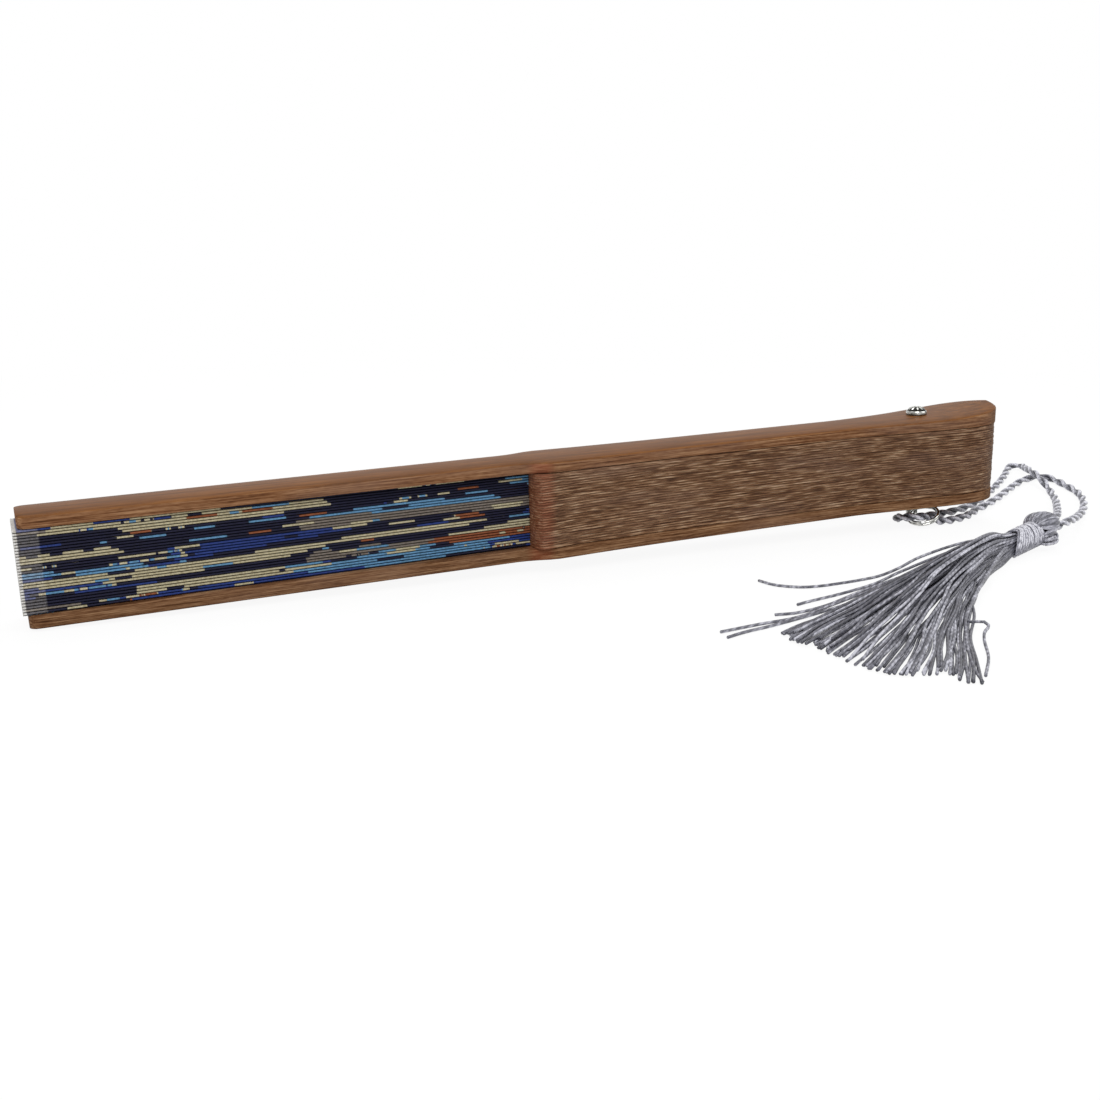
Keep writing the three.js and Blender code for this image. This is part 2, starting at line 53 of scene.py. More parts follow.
# Sizes of the fan in millimetres, measured from the rivet
TIP, TAIL, SHOULDER = 189.5, 20.0, 96.7
LEAF_END, LEAF_MIDDLE, LEAF_START = 190.3, 145, 96.85
TIP_HALF, SHOULDER_HALF, WAIST_HALF, HEAD_HALF = 5.43, 8.0, 6.05, 8.7
HEAD_WIDEST, TAIL_SQUARE, CORNER = 8.0, 2.35, 1.6
GUARD_EDGE, GUARD_CROWN, HEAD_RELIEF = 2.15, 0.8, 0.25
FRONT_EDGE, FRONT_CROWN = 1.8, 0.7
TAIL_SWELL, SWELL_START = 1.8, -18.0
RIBS, RIB_THICK, PITCH, BLADE_DROP = 28, 0.46, 0.51, 0.02
RIB_INSET, SLIP_SHORT = 0.12, 1.2
PAPER, LAYER_GAP = 0.09, 0.04
SLIP_THICK = PITCH - 2 * PAPER - 3 * LAYER_GAP
STACK_BOTTOM = GUARD_EDGE + GUARD_CROWN
STACK_TOP = STACK_BOTTOM + (RIBS + 1) * PITCH + PAPER + 2 * LAYER_GAP
RIVET_X, RIVET_LIFT = 85.3526, 4.9
RIVET_R, RIVET_HOLE_R, RIVET_HEAD_R = 1.45, 1.6, 2.3
LEAN = asin(RIVET_LIFT / TIP)
LEAN_SIN, LEAN_COS = sin(LEAN), cos(LEAN)
OPEN_STEP = radians(6)


def on_fan(x, y, z):
    """A place on the leaning fan, from the rivet in millimetres."""
    return Vector((
        (RIVET_X + x * LEAN_COS - z * LEAN_SIN) * MM,
        y * MM,
        (RIVET_LIFT + x * LEAN_SIN + z * LEAN_COS) * MM,
    ))


def on_table(x, y, z):
    """A place beside the fan, from the foot of the rivet in millimetres."""
    return Vector(((RIVET_X + x) * MM, y * MM, z * MM))


def panel_level(k):
    """The underside of the leaf's panel that is glued to stick k, counted from the back guard."""
    return STACK_BOTTOM + LAYER_GAP + k * PITCH


# Camera at the photograph's place


def aimed(name, data, place, look):
    """Adds a camera or a lamp that looks a given way."""
    obj = bpy.data.objects.new(name, data)
    obj.location = place
    obj.rotation_mode = "QUATERNION"
    obj.rotation_quaternion = look.to_track_quat("-Z", "Y")
    SCENE.collection.objects.link(obj)
    return obj


lens = bpy.data.cameras.new("camera")
lens.lens, lens.sensor_width = 41.97, 36
lens.clip_start, lens.clip_end = 0.01, 50
turn_left, look_down = radians(24.0), radians(14.2)
look = Vector((sin(turn_left) * cos(look_down), cos(turn_left) * cos(look_down), -sin(look_down)))
SCENE.camera = aimed("camera", lens, on_table(-193.31, -229.68, 66.80), look)

# Finishes


def rgb(code):
    """A colour for the shaders from its sRGB hex code."""
    parts = [int(code[i:i + 2], 16) / 255 for i in (0, 2, 4)]
    linear = [c / 12.92 if c <= 0.04045 else ((c + 0.055) / 1.055) ** 2.4 for c in parts]
    return tuple(linear) + (1.0,)


def fill(node, sockets):
    """Gives sockets their values or links. A node that is given for a value is linked by its first
    output."""
    for name, value in sockets.items():
        if isinstance(value, bpy.types.Node):
            value = value.outputs[0]
        if isinstance(value, bpy.types.NodeSocket):
            node.id_data.links.new(value, node.inputs[name])
        else:
            node.inputs[name].default_value = value


def add_node(tree, kind, sockets=None, **settings):
    """Adds a node with its settings and its socket values or links."""
    made = tree.nodes.new("ShaderNode" + kind)
    for name, value in settings.items():
        setattr(made, name, value)
    fill(made, sockets or {})
    return made


def maths(node, operation, *terms):
    """A sum of one, two or three terms."""
    return node("Math", dict(enumerate(terms)), operation=operation)


def ranged(node, value, start, end, low=0.0, high=1.0, **settings):
    """A value brought from the range between start and end to that between low and high."""
    sockets = {"Value": value, "From Min": start, "From Max": end, "To Min": low, "To Max": high}
    return node("MapRange", sockets, **settings)


def ramp(node, value, stops):
    """A colour picked by a value from stops that have a place and a code each."""
    made = node("ValToRGB", {"Fac": value})
    elements = made.color_ramp.elements
    for i, (place, code) in enumerate(stops):
        stop = elements[i] if i < 2 else elements.new(place)
        stop.position, stop.color = place, rgb(code)
    return made


def layered(node, colour, layers):
    """A colour with others laid over it in turn, each by its own share."""
    for share, tint in layers:
        mixed = node("Mix", {0: share, 6: colour, 7: tint}, data_type="RGBA")
        colour = mixed.outputs[2]
    return colour


def new_finish(name, roughness, metallic=0.0, specular=0.5):
    """A material, what adds nodes to it, and its one surface shader."""
    material = bpy.data.materials.new(name)
    material.use_nodes = True
    surface = material.node_tree.nodes["Principled BSDF"]
    fill(surface, {"Roughness": roughness, "Metallic": metallic, "Specular IOR Level": specular})
    return material, partial(add_node, material.node_tree), surface


def carbonised_bamboo(name, fibre_stops, bundle, outward):
    """Carbonised bamboo, split and planed: brown fibre bundles run along the stick as light and dark
    dashes no higher than a rib, the cut end shows their ends as dots, and the outer skin of a guard is
    scraped and waxed, amber to brown, with a soft gloss. The stick is scorched a little red at the
    shoulder. A guard's skin is on the side that outward points to, up or down; a rib has none."""
    material, node, surface = new_finish(name, 0.5, specular=0.05 if outward else 0.15)
    coords = node("TexCoord")
    place = coords.outputs["Object"]
    facing = node("SeparateXYZ", {0: coords.outputs["Normal"]}).outputs
    along = node("SeparateXYZ", {0: place}).outputs
    lie = {"Vector": place, "Rotation": (0, -LEAN, 0)}
    # sizes in mm along, across and up: the bundles of this stick, fine fibres, slow changes of tone, and
    # the ends of the bundles on the cut tail
    fitted = []
    for size in (bundle, (1.8, 0.3, 0.3), (24, 9, 4), (0.8, 0.5, 0.5)):
        scale = [mm * MM for mm in size]
        fitted.append(node("Mapping", lie | {"Scale": scale}, vector_type="TEXTURE"))
    bundles, fine, tone = [
        node("TexNoise", {"Vector": lain, "Scale": 1.0, "Detail": 2.0}) for lain in fitted[:3]
    ]
    streak = node("Mix", {0: 0.25, 2: bundles, 3: fine})
    colour = ramp(node, streak, fibre_stops)
    grey = ranged(node, tone, 0.45, 0.7, 0, 0.4)
    ends = node("TexVoronoi", {"Vector": fitted[3], "Scale": 1.0})
    end_stops = [(0.15, "75583f"), (0.4, "61452f"), (0.75, "4c3424")]
    end_grain = ramp(node, ends, end_stops)
    cut = ranged(node, facing["X"], 0.25, 0.5)
    # scorched red within about 3 mm of the shoulder
    shoulder = (RIVET_X - SHOULDER + 1.0) * MM
    near = maths(node, "SUBTRACT", along["X"], shoulder)
    near = maths(node, "ABSOLUTE", near)
    red = ranged(node, near, 0.8 * MM, 3.2 * MM, 0.35, 0.0, interpolation_type="SMOOTHSTEP")
    layers = [(grey, rgb("6f5648")), (cut, end_grain), (red, rgb("83402a"))]
    if outward:
        out = maths(node, "MULTIPLY", facing["Z"], outward)
        skin_stops = [(0.3, "4a2c10"), (0.5, "623b18"), (0.68, "764b22")]
        skin = ramp(node, streak, skin_stops)
        outer = ranged(node, out, 0.55, 0.9)
        layers.append((outer, skin))
        blur = ranged(node, outer, 0, 1, 0.6, 0.4)
    else:
        # each rib is painted darker along its two edges, where it meets the next one: painted shade in the
        # gaps between the ribs
        between_ribs = on_fan(0, 0, STACK_BOTTOM - SLIP_THICK / 2 - BLADE_DROP - PITCH / 2)
        by_rib = {"Location": between_ribs, "Scale": (MM, MM, PITCH * MM)}
        level = node("Mapping", lie | by_rib, vector_type="TEXTURE")
        level = node("SeparateXYZ", {0: level}).outputs["Z"]
        level = maths(node, "FRACT", level)
        off = maths(node, "SUBTRACT", level, 0.5)
        off = maths(node, "ABSOLUTE", off)
        edge = ranged(node, off, 0.3, 0.5, 0, 0.6)
        layers.append((edge, rgb("2e1c10")))
        blur = ranged(node, streak, 0.3, 0.7, 0.62, 0.48)
    colour = layered(node, colour, layers)
    relief = node("Bump", {"Height": streak, "Strength": 0.25, "Distance": 0.06 * MM})
    fill(surface, {"Base Color": colour, "Roughness": blur, "Normal": relief})
    return material


def printed_paper():
    """Matt machine-made paper, printed on one side with a generic patchwork: straight-edged patches of
    navy, blue, cream, grey and rust, with daisies and seeds strewn over them. The leaf is paler within
    about 4 mm of the outer edge, and the print stops short of it, where bare paper shows. The map is the
    flat leaf in metres, with the rivet at zero."""
    material, node, surface = new_finish("printed_leaf_paper", 0.8, specular=0.25)
    navy, blue, sky, cream, grey, rust = "13132a", "22346f", "547fa2", "a59d82", "6b635c", "7a452a"
    flat = node("TexCoord").outputs["UV"]
    radius = node("VectorMath", {0: flat}, operation="LENGTH").outputs["Value"]
    spread = node("SeparateXYZ", {0: flat}).outputs
    bearing = maths(node, "ARCTAN2", spread["Y"], spread["X"])
    out_and_round = node("CombineXYZ", {"X": radius, "Y": bearing})
    # sizes in mm outwards and round the middle of the leaf: patches that cross several folds, and seeds
    cells = []
    for outwards, round_leaf, dimensions in ((34, 44, "2D"), (10, 7, "3D")):
        size = {"Vector": out_and_round, "Scale": (outwards * MM, round_leaf / LEAF_MIDDLE, 1)}
        fitted = {"Vector": node("Mapping", size, vector_type="TEXTURE"), "Scale": 1.0}
        cells.append(node("TexVoronoi", fitted, voronoi_dimensions=dimensions))
    patches, seeds = cells
    # flowers about 30 mm apart with eight petals each
    flowers = node("TexVoronoi", {"Vector": flat, "Scale": 1 / (30 * MM), "Randomness": 0.8})
    centre = flowers.outputs["Position"]
    from_centre = node("VectorMath", {0: flat, 1: centre}, operation="SUBTRACT")
    parts = node("SeparateXYZ", {0: from_centre}).outputs
    angle = maths(node, "ARCTAN2", parts["Y"], parts["X"])
    petal = maths(node, "MULTIPLY", angle, 8.0)
    petal = maths(node, "COSINE", petal)
    petal = maths(node, "MULTIPLY", petal, 0.06)
    reach = maths(node, "ADD", flowers, petal)
    # every patch, flower and seed has a kind of its own between nought and one
    patch_kind, flower_kind, seed_kind = [
        node("SeparateColor", {0: cell.outputs["Color"]}) for cell in (patches, flowers, seeds)
    ]
    patch_stops = [(0.0, navy), (0.5, blue), (0.62, sky), (0.72, cream), (0.88, grey), (0.95, rust)]
    ring_stops = [(0.0, rust), (0.05, "ada58a"), (0.13, blue), (0.16, sky), (0.22, cream), (0.26, navy)]
    seed_stops = [(0.0, cream), (0.36, navy), (0.58, blue), (0.7, sky), (0.92, rust)]
    inks = []
    for value, stops in ((patch_kind, patch_stops), (reach, ring_stops), (seed_kind, seed_stops)):
        inks.append(ramp(node, value, stops))
        inks[-1].color_ramp.interpolation = "CONSTANT"
    colour, flower_ink, seed_ink = inks
    size = ranged(node, flower_kind, 0, 1, 0.12, 0.38)
    in_flower = maths(node, "LESS_THAN", reach, size)
    in_seed = maths(node, "LESS_THAN", seeds, 0.34)
    # paler trim 4 mm wide, then a bare margin of about 1 mm
    trim = ranged(node, radius, 186.2 * MM, 186.5 * MM, 0, 0.16)
    bare = ranged(node, radius, 189.6 * MM, 189.8 * MM)
    layers = [
        (in_flower, flower_ink), (in_seed, seed_ink), (trim, rgb("cfcac4")), (bare, rgb("c6c5c3")),
    ]
    colour = layered(node, colour, layers)
    # paper tooth, drawn at 0.5 mm so that it shows
    tooth = node("TexNoise", {"Vector": flat, "Scale": 1 / (0.5 * MM), "Detail": 2.0})
    shade = ramp(node, tooth, [(0.3, "d8d4cc"), (0.6, "ffffff")])
    shaded = node("Mix", {0: 1.0, 6: colour, 7: shade}, data_type="RGBA", blend_type="MULTIPLY")
    relief = node("Bump", {"Height": tooth, "Strength": 0.15, "Distance": 0.03 * MM})
    fill(surface, {"Base Color": shaded.outputs[2], "Normal": relief})
    return material


def nickel(name, bright, dull_and_dark_reflection, roughness):
    """Nickel-plated brass, tumbled: a grey-white metal with fine scuffs 0.2 mm apart that blur its
    reflections here and there. Its colour is mottled about 1.2 mm across between a bright and a darker
    tone: wear, and painted dark reflections."""
    material, node, surface = new_finish(name, roughness, metallic=1.0)
    place = node("TexCoord").outputs["Object"]
    # mottle between the darker and the bright tone: wear and painted dark reflections
    wear_and_painted_reflection = node("TexNoise", {"Vector": place, "Scale": 1 / (1.2 * MM), "Detail": 3.0})
    plate = ramp(node, wear_and_painted_reflection, [(0.32, dull_and_dark_reflection), (0.6, bright)])
    scuffs = node("TexNoise", {"Vector": place, "Scale": 1 / (0.2 * MM), "Detail": 2.0})
    blur = ranged(node, scuffs, 0.3, 0.7, roughness - 0.06, roughness + 0.12)
    relief = node("Bump", {"Height": scuffs, "Strength": 0.06, "Distance": 0.02 * MM})
    fill(surface, {"Base Color": plate, "Roughness": blur, "Normal": relief})
    return material


def twisted_viscose(name, shades, lay_mm, way=0.0, streak_mm=2.0):
    """Viscose thread, spun and twisted: silver-grey, with a silky shine, slanting bars of painted
    highlight and painted shade for the turns of the twist, longer streaks that are differences in tone and
    painted sheen, and some threads lighter than others. The map's U runs along the thread in centimetres,
    and V goes round it; the streaks lie along the way that the threads go; the attribute tone is each
    thread's own, and on the cord it is painted shade in the grooves between the plies and painted
    highlight on their crowns."""
    material, node, surface = new_finish(name, 0.34, specular=0.5)
    coords = node("TexCoord").outputs
    run = node("SeparateXYZ", {0: coords["UV"]}).outputs
    # slanting bars round each turn of the twist: painted highlight and painted shade, which also drive the
    # bump
    turns = maths(node, "MULTIPLY_ADD", run["X"], 10 / lay_mm, run["Y"])
    sweep = maths(node, "MULTIPLY", turns, 2 * pi)
    wave = maths(node, "SINE", sweep)
    ply = ranged(node, wave, -1.0, 1.0)
    # streaks along the threads: differences in tone and painted sheen
    streak_size = (streak_mm * MM, 0.7 * MM, 0.7 * MM)
    streak = node("Mapping", {"Vector": coords["Object"], "Rotation": (0, 0, way),
                              "Scale": streak_size}, vector_type="TEXTURE")
    streak = node("TexNoise", {"Vector": streak, "Scale": 1.0, "Detail": 2.0})
    streak = ranged(node, streak, 0.35, 0.65)
    # each thread's own tone, and on the cord painted shade in the grooves and painted highlight on the
    # crowns
    own = node("Attribute", attribute_name="tone")
    tone = node("Mix", {0: 0.3, 2: streak, 3: ply})
    tone = node("Mix", {0: 0.5, 2: tone, 3: own.outputs["Fac"]})
    colour = ramp(node, tone, zip((0.2, 0.5, 0.8), shades))
    relief = node("Bump", {"Height": ply, "Strength": 0.3, "Distance": 0.06 * MM})
    fill(surface, {"Base Color": colour, "Normal": relief, "Sheen Weight": 0.05, "Sheen Roughness": 0.4})
    return material


FRONT_FIBRES = [(0.30, "3a2110"), (0.42, "583721"), (0.50, "6f4c32"), (0.60, "846145"), (0.72, "9a7958")]
BACK_FIBRES = [(0.30, "341e0f"), (0.42, "523520"), (0.50, "674830"), (0.60, "7d5e44"), (0.72, "947656")]
RIB_FIBRES = [(0.30, "392314"), (0.40, "503420"), (0.49, "674830"), (0.58, "86684e"), (0.70, "ac9278")]
FRONT_BAMBOO = carbonised_bamboo("waxed_front_guard_bamboo", FRONT_FIBRES, (15.0, 0.9, 0.22), 1.0)
BACK_BAMBOO = carbonised_bamboo("waxed_back_guard_bamboo", BACK_FIBRES, (12.0, 0.9, 0.22), -1.0)
RIB_BAMBOO = carbonised_bamboo("planed_rib_bamboo", RIB_FIBRES, (4.5, 0.9, 0.28), 0.0)
LEAF_PAPER = printed_paper()
# the rivet's and ring's darker tone stands partly for painted dark reflections
RIVET_NICKEL = nickel("nickel_rivet", "c8c8c3", "5e5e59", 0.16)
RIVET_RECESS = nickel("tarnished_recess", "2a2927", "141312", 0.5)
RING_NICKEL = nickel("nickel_ring_wire", "d8d8d4", "3c3c3a", 0.14)
CORD_VISCOSE = twisted_viscose("viscose_cord", ("3e3e47", "7c7c86", "cacad3"), 6.0, 0.0, 0.7)
SKIRT_VISCOSE = twisted_viscose("viscose_skirt_thread", ("34343d", "5e5e68", "b4b4be"), 1.9,
                                radians(208), 9.0)
HEAD_VISCOSE = twisted_viscose("viscose_head_thread", ("42424b", "6a6a74", "a2a2ac"), 2.0,
                               radians(20), 4.0)
BINDING_VISCOSE = twisted_viscose("viscose_binding", ("5a5a64", "82828c", "c4c4cc"), 1.6, 0.0, 0.7)

# Soft pieces: tubes of thread along smooth paths, in millimetres from the foot of the rivet

CM_PER_MM = 0.1


def between(a, b, from_t, to_t, t):
    """The place at t on a line that is at a when t is from_t and at b when it is to_t."""
    return ((to_t - t) * a + (t - from_t) * b) / (to_t - from_t)


def smooth_path(points, per_span):
    """A centripetal curve through chosen points."""
    pts = [np.array(p, float) for p in points]
    pts = [2 * pts[0] - pts[1]] + pts + [2 * pts[-1] - pts[-2]]
    out = []
    for i in range(1, len(pts) - 2):
        p = pts[i - 1:i + 3]
        k = np.cumsum([0.0] + [np.linalg.norm(b - a) ** 0.5 for a, b in zip(p, p[1:])])
        for t in np.linspace(k[1], k[2], per_span, endpoint=False):
            a = [between(p[j], p[j + 1], k[j], k[j + 1], t) for j in range(3)]
            b = [between(a[j], a[j + 1], k[j], k[j + 2], t) for j in range(2)]
            out.append(between(b[0], b[1], k[1], k[2], t))
    out.append(pts[-2])
    return np.array(out)


def run_along(path):
    """How far along the path each of its points is."""
    return np.concatenate([[0], np.cumsum(np.linalg.norm(np.diff(path, axis=0), axis=1))])


def even_steps(path, step):
    """The same path with its points the same distance apart."""
    run = run_along(path)
    count = max(2, int(round(run[-1] / step)) + 1)
    at = np.linspace(0, run[-1], count)
    return np.stack([np.interp(at, run, path[:, i]) for i in range(3)], axis=1)


def across_path(path):
    """Two directions across the path at each point, carried along without twist."""
    ahead = np.gradient(path, axis=0)
    ahead /= np.linalg.norm(ahead, axis=1)[:, None]
    first = np.cross(ahead[0], (0, 0, 1.0))
    side = [first / np.linalg.norm(first)]
    for t in ahead[1:]:
        n = side[-1] - t * np.dot(side[-1], t)
        side.append(n / np.linalg.norm(n))
    side = np.array(side)
    return side, np.cross(ahead, side)


def soft_mesh(name, verts, faces, map_name, corners, finish):
    """A smooth object of its own points and faces, with a map that has a place for each face corner."""
    mesh = bpy.data.meshes.new(name)
    mesh.from_pydata(verts, [], faces)
    layer = mesh.uv_layers.new(name=map_name)
    layer.data.foreach_set("uv", [c for pair in corners for c in pair])
    mesh.polygons.foreach_set("use_smooth", [True] * len(mesh.polygons))
    mesh.materials.append(finish)
    obj = bpy.data.objects.new(name, mesh)
    SCENE.collection.objects.link(obj)
    return obj


def belong(obj, body, slot, *nodes):
    """Gives a piece its body and hides the nodes that it stands for; the slot is not used."""
    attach(obj, body)
    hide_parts(*nodes)


class Threads:
    """Round threads gathered into one mesh, with a map along and round each and a tone at each point: each
    thread's own, and on the cord's plies a painted shade and highlight.
    """

    def __init__(self):
        self.verts, self.faces, self.map, self.tones_and_painted_shading = [], [], [], []

    def lay(self, path, radius, sides, shift=0.0, tone=0.5, core=None):
        """One thread along a path, of one tone, else with painted shade where it lies in towards a core
        path and painted highlight where it stands out from it.
        """
        side, up = across_path(path)
        run = run_along(path) * CM_PER_MM
        turn = 2 * np.pi * np.arange(sides) / sides
        out = np.cos(turn)[:, None] * side[:, None] + np.sin(turn)[:, None] * up[:, None]
        points = path[:, None] + np.reshape(radius, (-1, 1, 1)) * out
        tones_and_painted_shading = np.full(len(path) * sides, tone)
        # painted shade in the grooves between plies and painted highlight on their crowns, from each
        # point's distance to the core
        if core is not None:
            tones_and_painted_shading = (np.linalg.norm(points - core[:, None], axis=2) - GROOVE) / (CROWN - GROOVE)
        start = len(self.verts)
        self.verts += [on_table(*q) for q in points.reshape(-1, 3)]
        self.tones_and_painted_shading += list(np.clip(tones_and_painted_shading, 0, 1).ravel())
        for i in range(len(path) - 1):
            for j in range(sides):
                n = (j + 1) % sides
                low, high = start + i * sides, start + (i + 1) * sides
                self.faces.append((low + j, low + n, high + n, high + j))
                u0, u1 = run[i] + shift, run[i + 1] + shift
                v0, v1 = j / sides, (j + 1) / sides
                self.map += [(u0, v0), (u0, v1), (u1, v1), (u1, v0)]
        last = start + (len(path) - 1) * sides
        for first, order in ((start, reversed(range(sides))), (last, range(sides))):
            self.faces.append(tuple(first + j for j in order))
            self.map += [(shift, j / sides) for j in range(sides)]

    def piece(self, name, finish, *nodes):
        """The threads as one piece of the tassel."""
        obj = soft_mesh(name, self.verts, self.faces, "thread_map", self.map, finish)
        obj.data.attributes.new("tone", "FLOAT", "POINT").data.foreach_set("value", self.tones_and_painted_shading)
        belong(obj, "pendant", "tassel_thread", *nodes)
        return obj


def pointing(heading, rise):
    """The way that a bearing and a rise point."""
    level = cos(rise)
    return np.array((cos(heading) * level, sin(heading) * level, sin(rise)))


# Cord: one two-ply cord from the tassel's head, through the ring and back

CORD_R, TABLE_GAP, CORD_GAP = 0.95, 0.05, 0.3
LOW = CORD_R + TABLE_GAP
CROSS = LOW + 2 * CORD_R + CORD_GAP
RING_R, RING_WIRE_R = 3.4, 0.375
RING_HEADING, RING_DROOP, RING_ROLL = radians(-80), radians(8), radians(24)
EYE_LEVEL, EYE_R, EYE_WIRE_R = -1.65, 1.15, 0.42
EYE = np.array((-EYE_LEVEL * LEAN_SIN, 0, RIVET_LIFT + EYE_LEVEL * LEAN_COS))
RING_OUT = pointing(RING_HEADING, -RING_DROOP)
RING_LEVEL = np.array((-sin(RING_HEADING), cos(RING_HEADING), 0))
RING_SIDE = RING_LEVEL * cos(RING_ROLL) + np.cross(RING_OUT, RING_LEVEL) * sin(RING_ROLL)
RING_CENTRE = EYE + RING_OUT * RING_R
RING_LEFT = RING_CENTRE + RING_R * (0.47 * RING_OUT - 0.883 * RING_SIDE)
OVER = RING_LEFT[2] + RING_WIRE_R + CORD_R + CORD_GAP

NECK = np.array((-0.7, -33.4, 3.1))
BINDING_LONG, BULGE_LONG, BULGE_R, BULGE_CLEAR = 8.4, 5.8, 3.4, 0.4
HEAD_LONG = BINDING_LONG + BULGE_LONG
HEAD_HEADING = radians(20)
HEAD_RISE = atan2(BULGE_R + BULGE_CLEAR - NECK[2], BINDING_LONG + 0.45 * BULGE_LONG)
HEAD_WAY = pointing(HEAD_HEADING, HEAD_RISE)
HEAD_SIDE = np.array((-sin(HEAD_HEADING), cos(HEAD_HEADING), 0))
HEAD_UP = np.cross(HEAD_WAY, HEAD_SIDE)
STRAND_APART = CORD_R + CORD_GAP / 2


def on_head(side, up, along):
    """A place on the tassel's head, from the middle of its neck."""
    return NECK + HEAD_SIDE * side + HEAD_UP * up + HEAD_WAY * along


# a place with no height lies on the table
CORD_ROUTE = [
    on_head(STRAND_APART, 0, HEAD_LONG + CORD_GAP), (17.4, -25.2, 4.2), (23.4, -20.6, 3.9),
    (30.4, -14.0, 2.9), (39.2, -5.2, 1.8), (47.2, 3.2, 1.1), (52.6, 9.8), (55.8, 14.6, 1.5),
    (57.5, 18.6, 2.6), (59.3, 22.6, CROSS), (61.6, 26.8, CROSS), (64.6, 31.0, 2.65), (67.9, 35.2, 2.05),
    (70.8, 38.8, 1.55), (72.1, 41.1, 1.3), (71.9, 42.3, 1.2), (70.9, 42.9, 1.1), (69.5, 42.5, 1.05),
    (64.2, 38.0), (58.8, 33.1), (53.2, 28.3, 1.1), (47.5, 23.7), (41.6, 19.2), (35.8, 14.7),
    (30.6, 10.9), (25.2, 7.5), (19.4, 4.7), (13.8, 2.9), (8.6, 2.0), (5.0, 1.8), (1.8, 2.0),
    (-1.0, 2.0, LOW + 0.1), (-3.0, 1.2, LOW + 0.4), (-4.1, -0.4, LOW + 1), (-4.2, -2.5, OVER - 0.3),
    (RING_LEFT[0] - 1.2, RING_LEFT[1] + 0.5, OVER),
    (RING_LEFT[0] + 0.9, RING_LEFT[1] + 0.1, OVER - 0.1), (1.4, -4.3, 1.9), (4.2, -4.1, 1.25),
    (7.0, -4.1), (9.8, -3.6), (13.8, -2.4), (18.2, 0.1), (22.8, 3.1), (27.2, 5.5), (31.4, 8.0),
    (35.4, 10.5), (39.9, 13.6), (44.7, 17.0), (49.8, 20.4), (55.0, 23.9), (59.4, 26.2), (63.2, 27.6),
    (65.8, 27.7), (67.1, 26.0), (66.6, 22.9), (64.9, 18.9), (62.7, 14.2), (60.2, 9.3), (57.0, 4.6),
    (53.0, -0.1), (48.4, -4.8), (42.3, -10.1, 1.2), (35.0, -15.9, 2.0), (27.4, -21.8, 3.2),
    (21.8, -25.7, 4.0), (17.4, -28.0, 4.2), on_head(-STRAND_APART, 0, HEAD_LONG + CORD_GAP),
]
CORD_STEP, PLY_R, PLY_OFF, PLY_SIDES = 0.3, 0.5, 0.45, 10
# the twist is tight by the ring and slackens towards the free loops
RING_LAY, LOOP_LAY, SLACK_FROM, SLACK_TO = 6.5, 14.0, 8.0, 26.0
# how far from the cord's middle a ply is at its darkest and at its lightest: painted shade in the groove
# between the plies, painted highlight on their crowns
GROOVE, CROWN = 0.62, 0.95
cord_places = [place if len(place) == 3 else place + (LOW,) for place in CORD_ROUTE]
cord_line = even_steps(smooth_path(cord_places, 16), CORD_STEP)
cord_side, cord_up = across_path(cord_line)
slack = np.clip((cord_line[:, 0] - SLACK_FROM) / (SLACK_TO - SLACK_FROM), 0, 1)
twist = 2 * np.pi * np.cumsum(CORD_STEP / (RING_LAY + (LOOP_LAY - RING_LAY) * slack))
plies = Threads()
for ply in range(2):
    turn = twist + ply * np.pi
    offset = np.cos(turn)[:, None] * cord_side + np.sin(turn)[:, None] * cord_up
    # each ply is given painted shade towards the cord's middle and painted highlight away from it
    plies.lay(cord_line + PLY_OFF * offset, PLY_R, PLY_SIDES, 0.37 * ply, core=cord_line)
cord = plies.piece("tassel_cord", CORD_VISCOSE, "cord_strand_1", "cord_bight", "cord_strand_2")

# Tassel head: looped threads in a flat bun that leans back over the binding

rng = random.Random(11)
loops = Threads()
LOOPS, LOOP_R, LOOP_SIDES = 54, 0.3, 7
BUN_AT, BUN_LIFT, BUN_LONG, BUN_WIDE, BUN_HIGH = 10.9, 1.6, 3.6, 3.3, 2.5
BUN_SIDE, BUN_SWIRL, TUCK_R, TUCK_DEEP = -0.5, 0.25, 1.7, 1.2
OVER_BACK, UNDER_BACK, UNDER_FROM = 0.86, 0.62, -0.25
for i in range(LOOPS):
    turn = 2 * pi * (i + 0.5 * rng.random()) / LOOPS
    swell = 1 + 0.05 * sin(3 * turn + 0.9) + 0.06 * (rng.random() - 0.5)
    # the upper loops go right over and tuck in behind; the lower ones go straight into the binding
    back = OVER_BACK if sin(turn) > UNDER_FROM else UNDER_BACK
    line = []
    for t in np.linspace(0.06, back, 9) * pi:
        swirl = turn + BUN_SWIRL * cos(t)
        side = BUN_SIDE + BUN_WIDE * swell * sin(t) * cos(swirl)
        up = BUN_LIFT + BUN_HIGH * swell * sin(t) * sin(swirl)
        line.append(on_head(side, up, BUN_AT + BUN_LONG * cos(t)))
    line.append(on_head(TUCK_R * cos(turn), TUCK_R * sin(turn), BINDING_LONG - TUCK_DEEP))
    loops.lay(even_steps(smooth_path(line, 6), 0.45), LOOP_R, LOOP_SIDES, 0.31 * i, rng.random())
# the threads inside, as one core
CORE_R = [0.3, 2.0, 2.1, 1.9, 1.5, 0.8, 0.3]
CORE_AT = [0.05, 0.1] + [BINDING_LONG + past for past in (0, 1.2, 3.2, 4.6, 5.0)]
CORE_STEP, CORE_SIDES, CORE_TILT = 0.3, 20, 0.2
spine_at = np.arange(CORE_AT[0], CORE_AT[-1], CORE_STEP)
spine = np.array([on_head(0, CORE_TILT * max(0.0, at - BINDING_LONG + 1), at) for at in spine_at])
loops.lay(spine, np.interp(spine_at, CORE_AT, CORE_R), CORE_SIDES)
head = loops.piece("tassel_head_loops", HEAD_VISCOSE, "tassel_head")

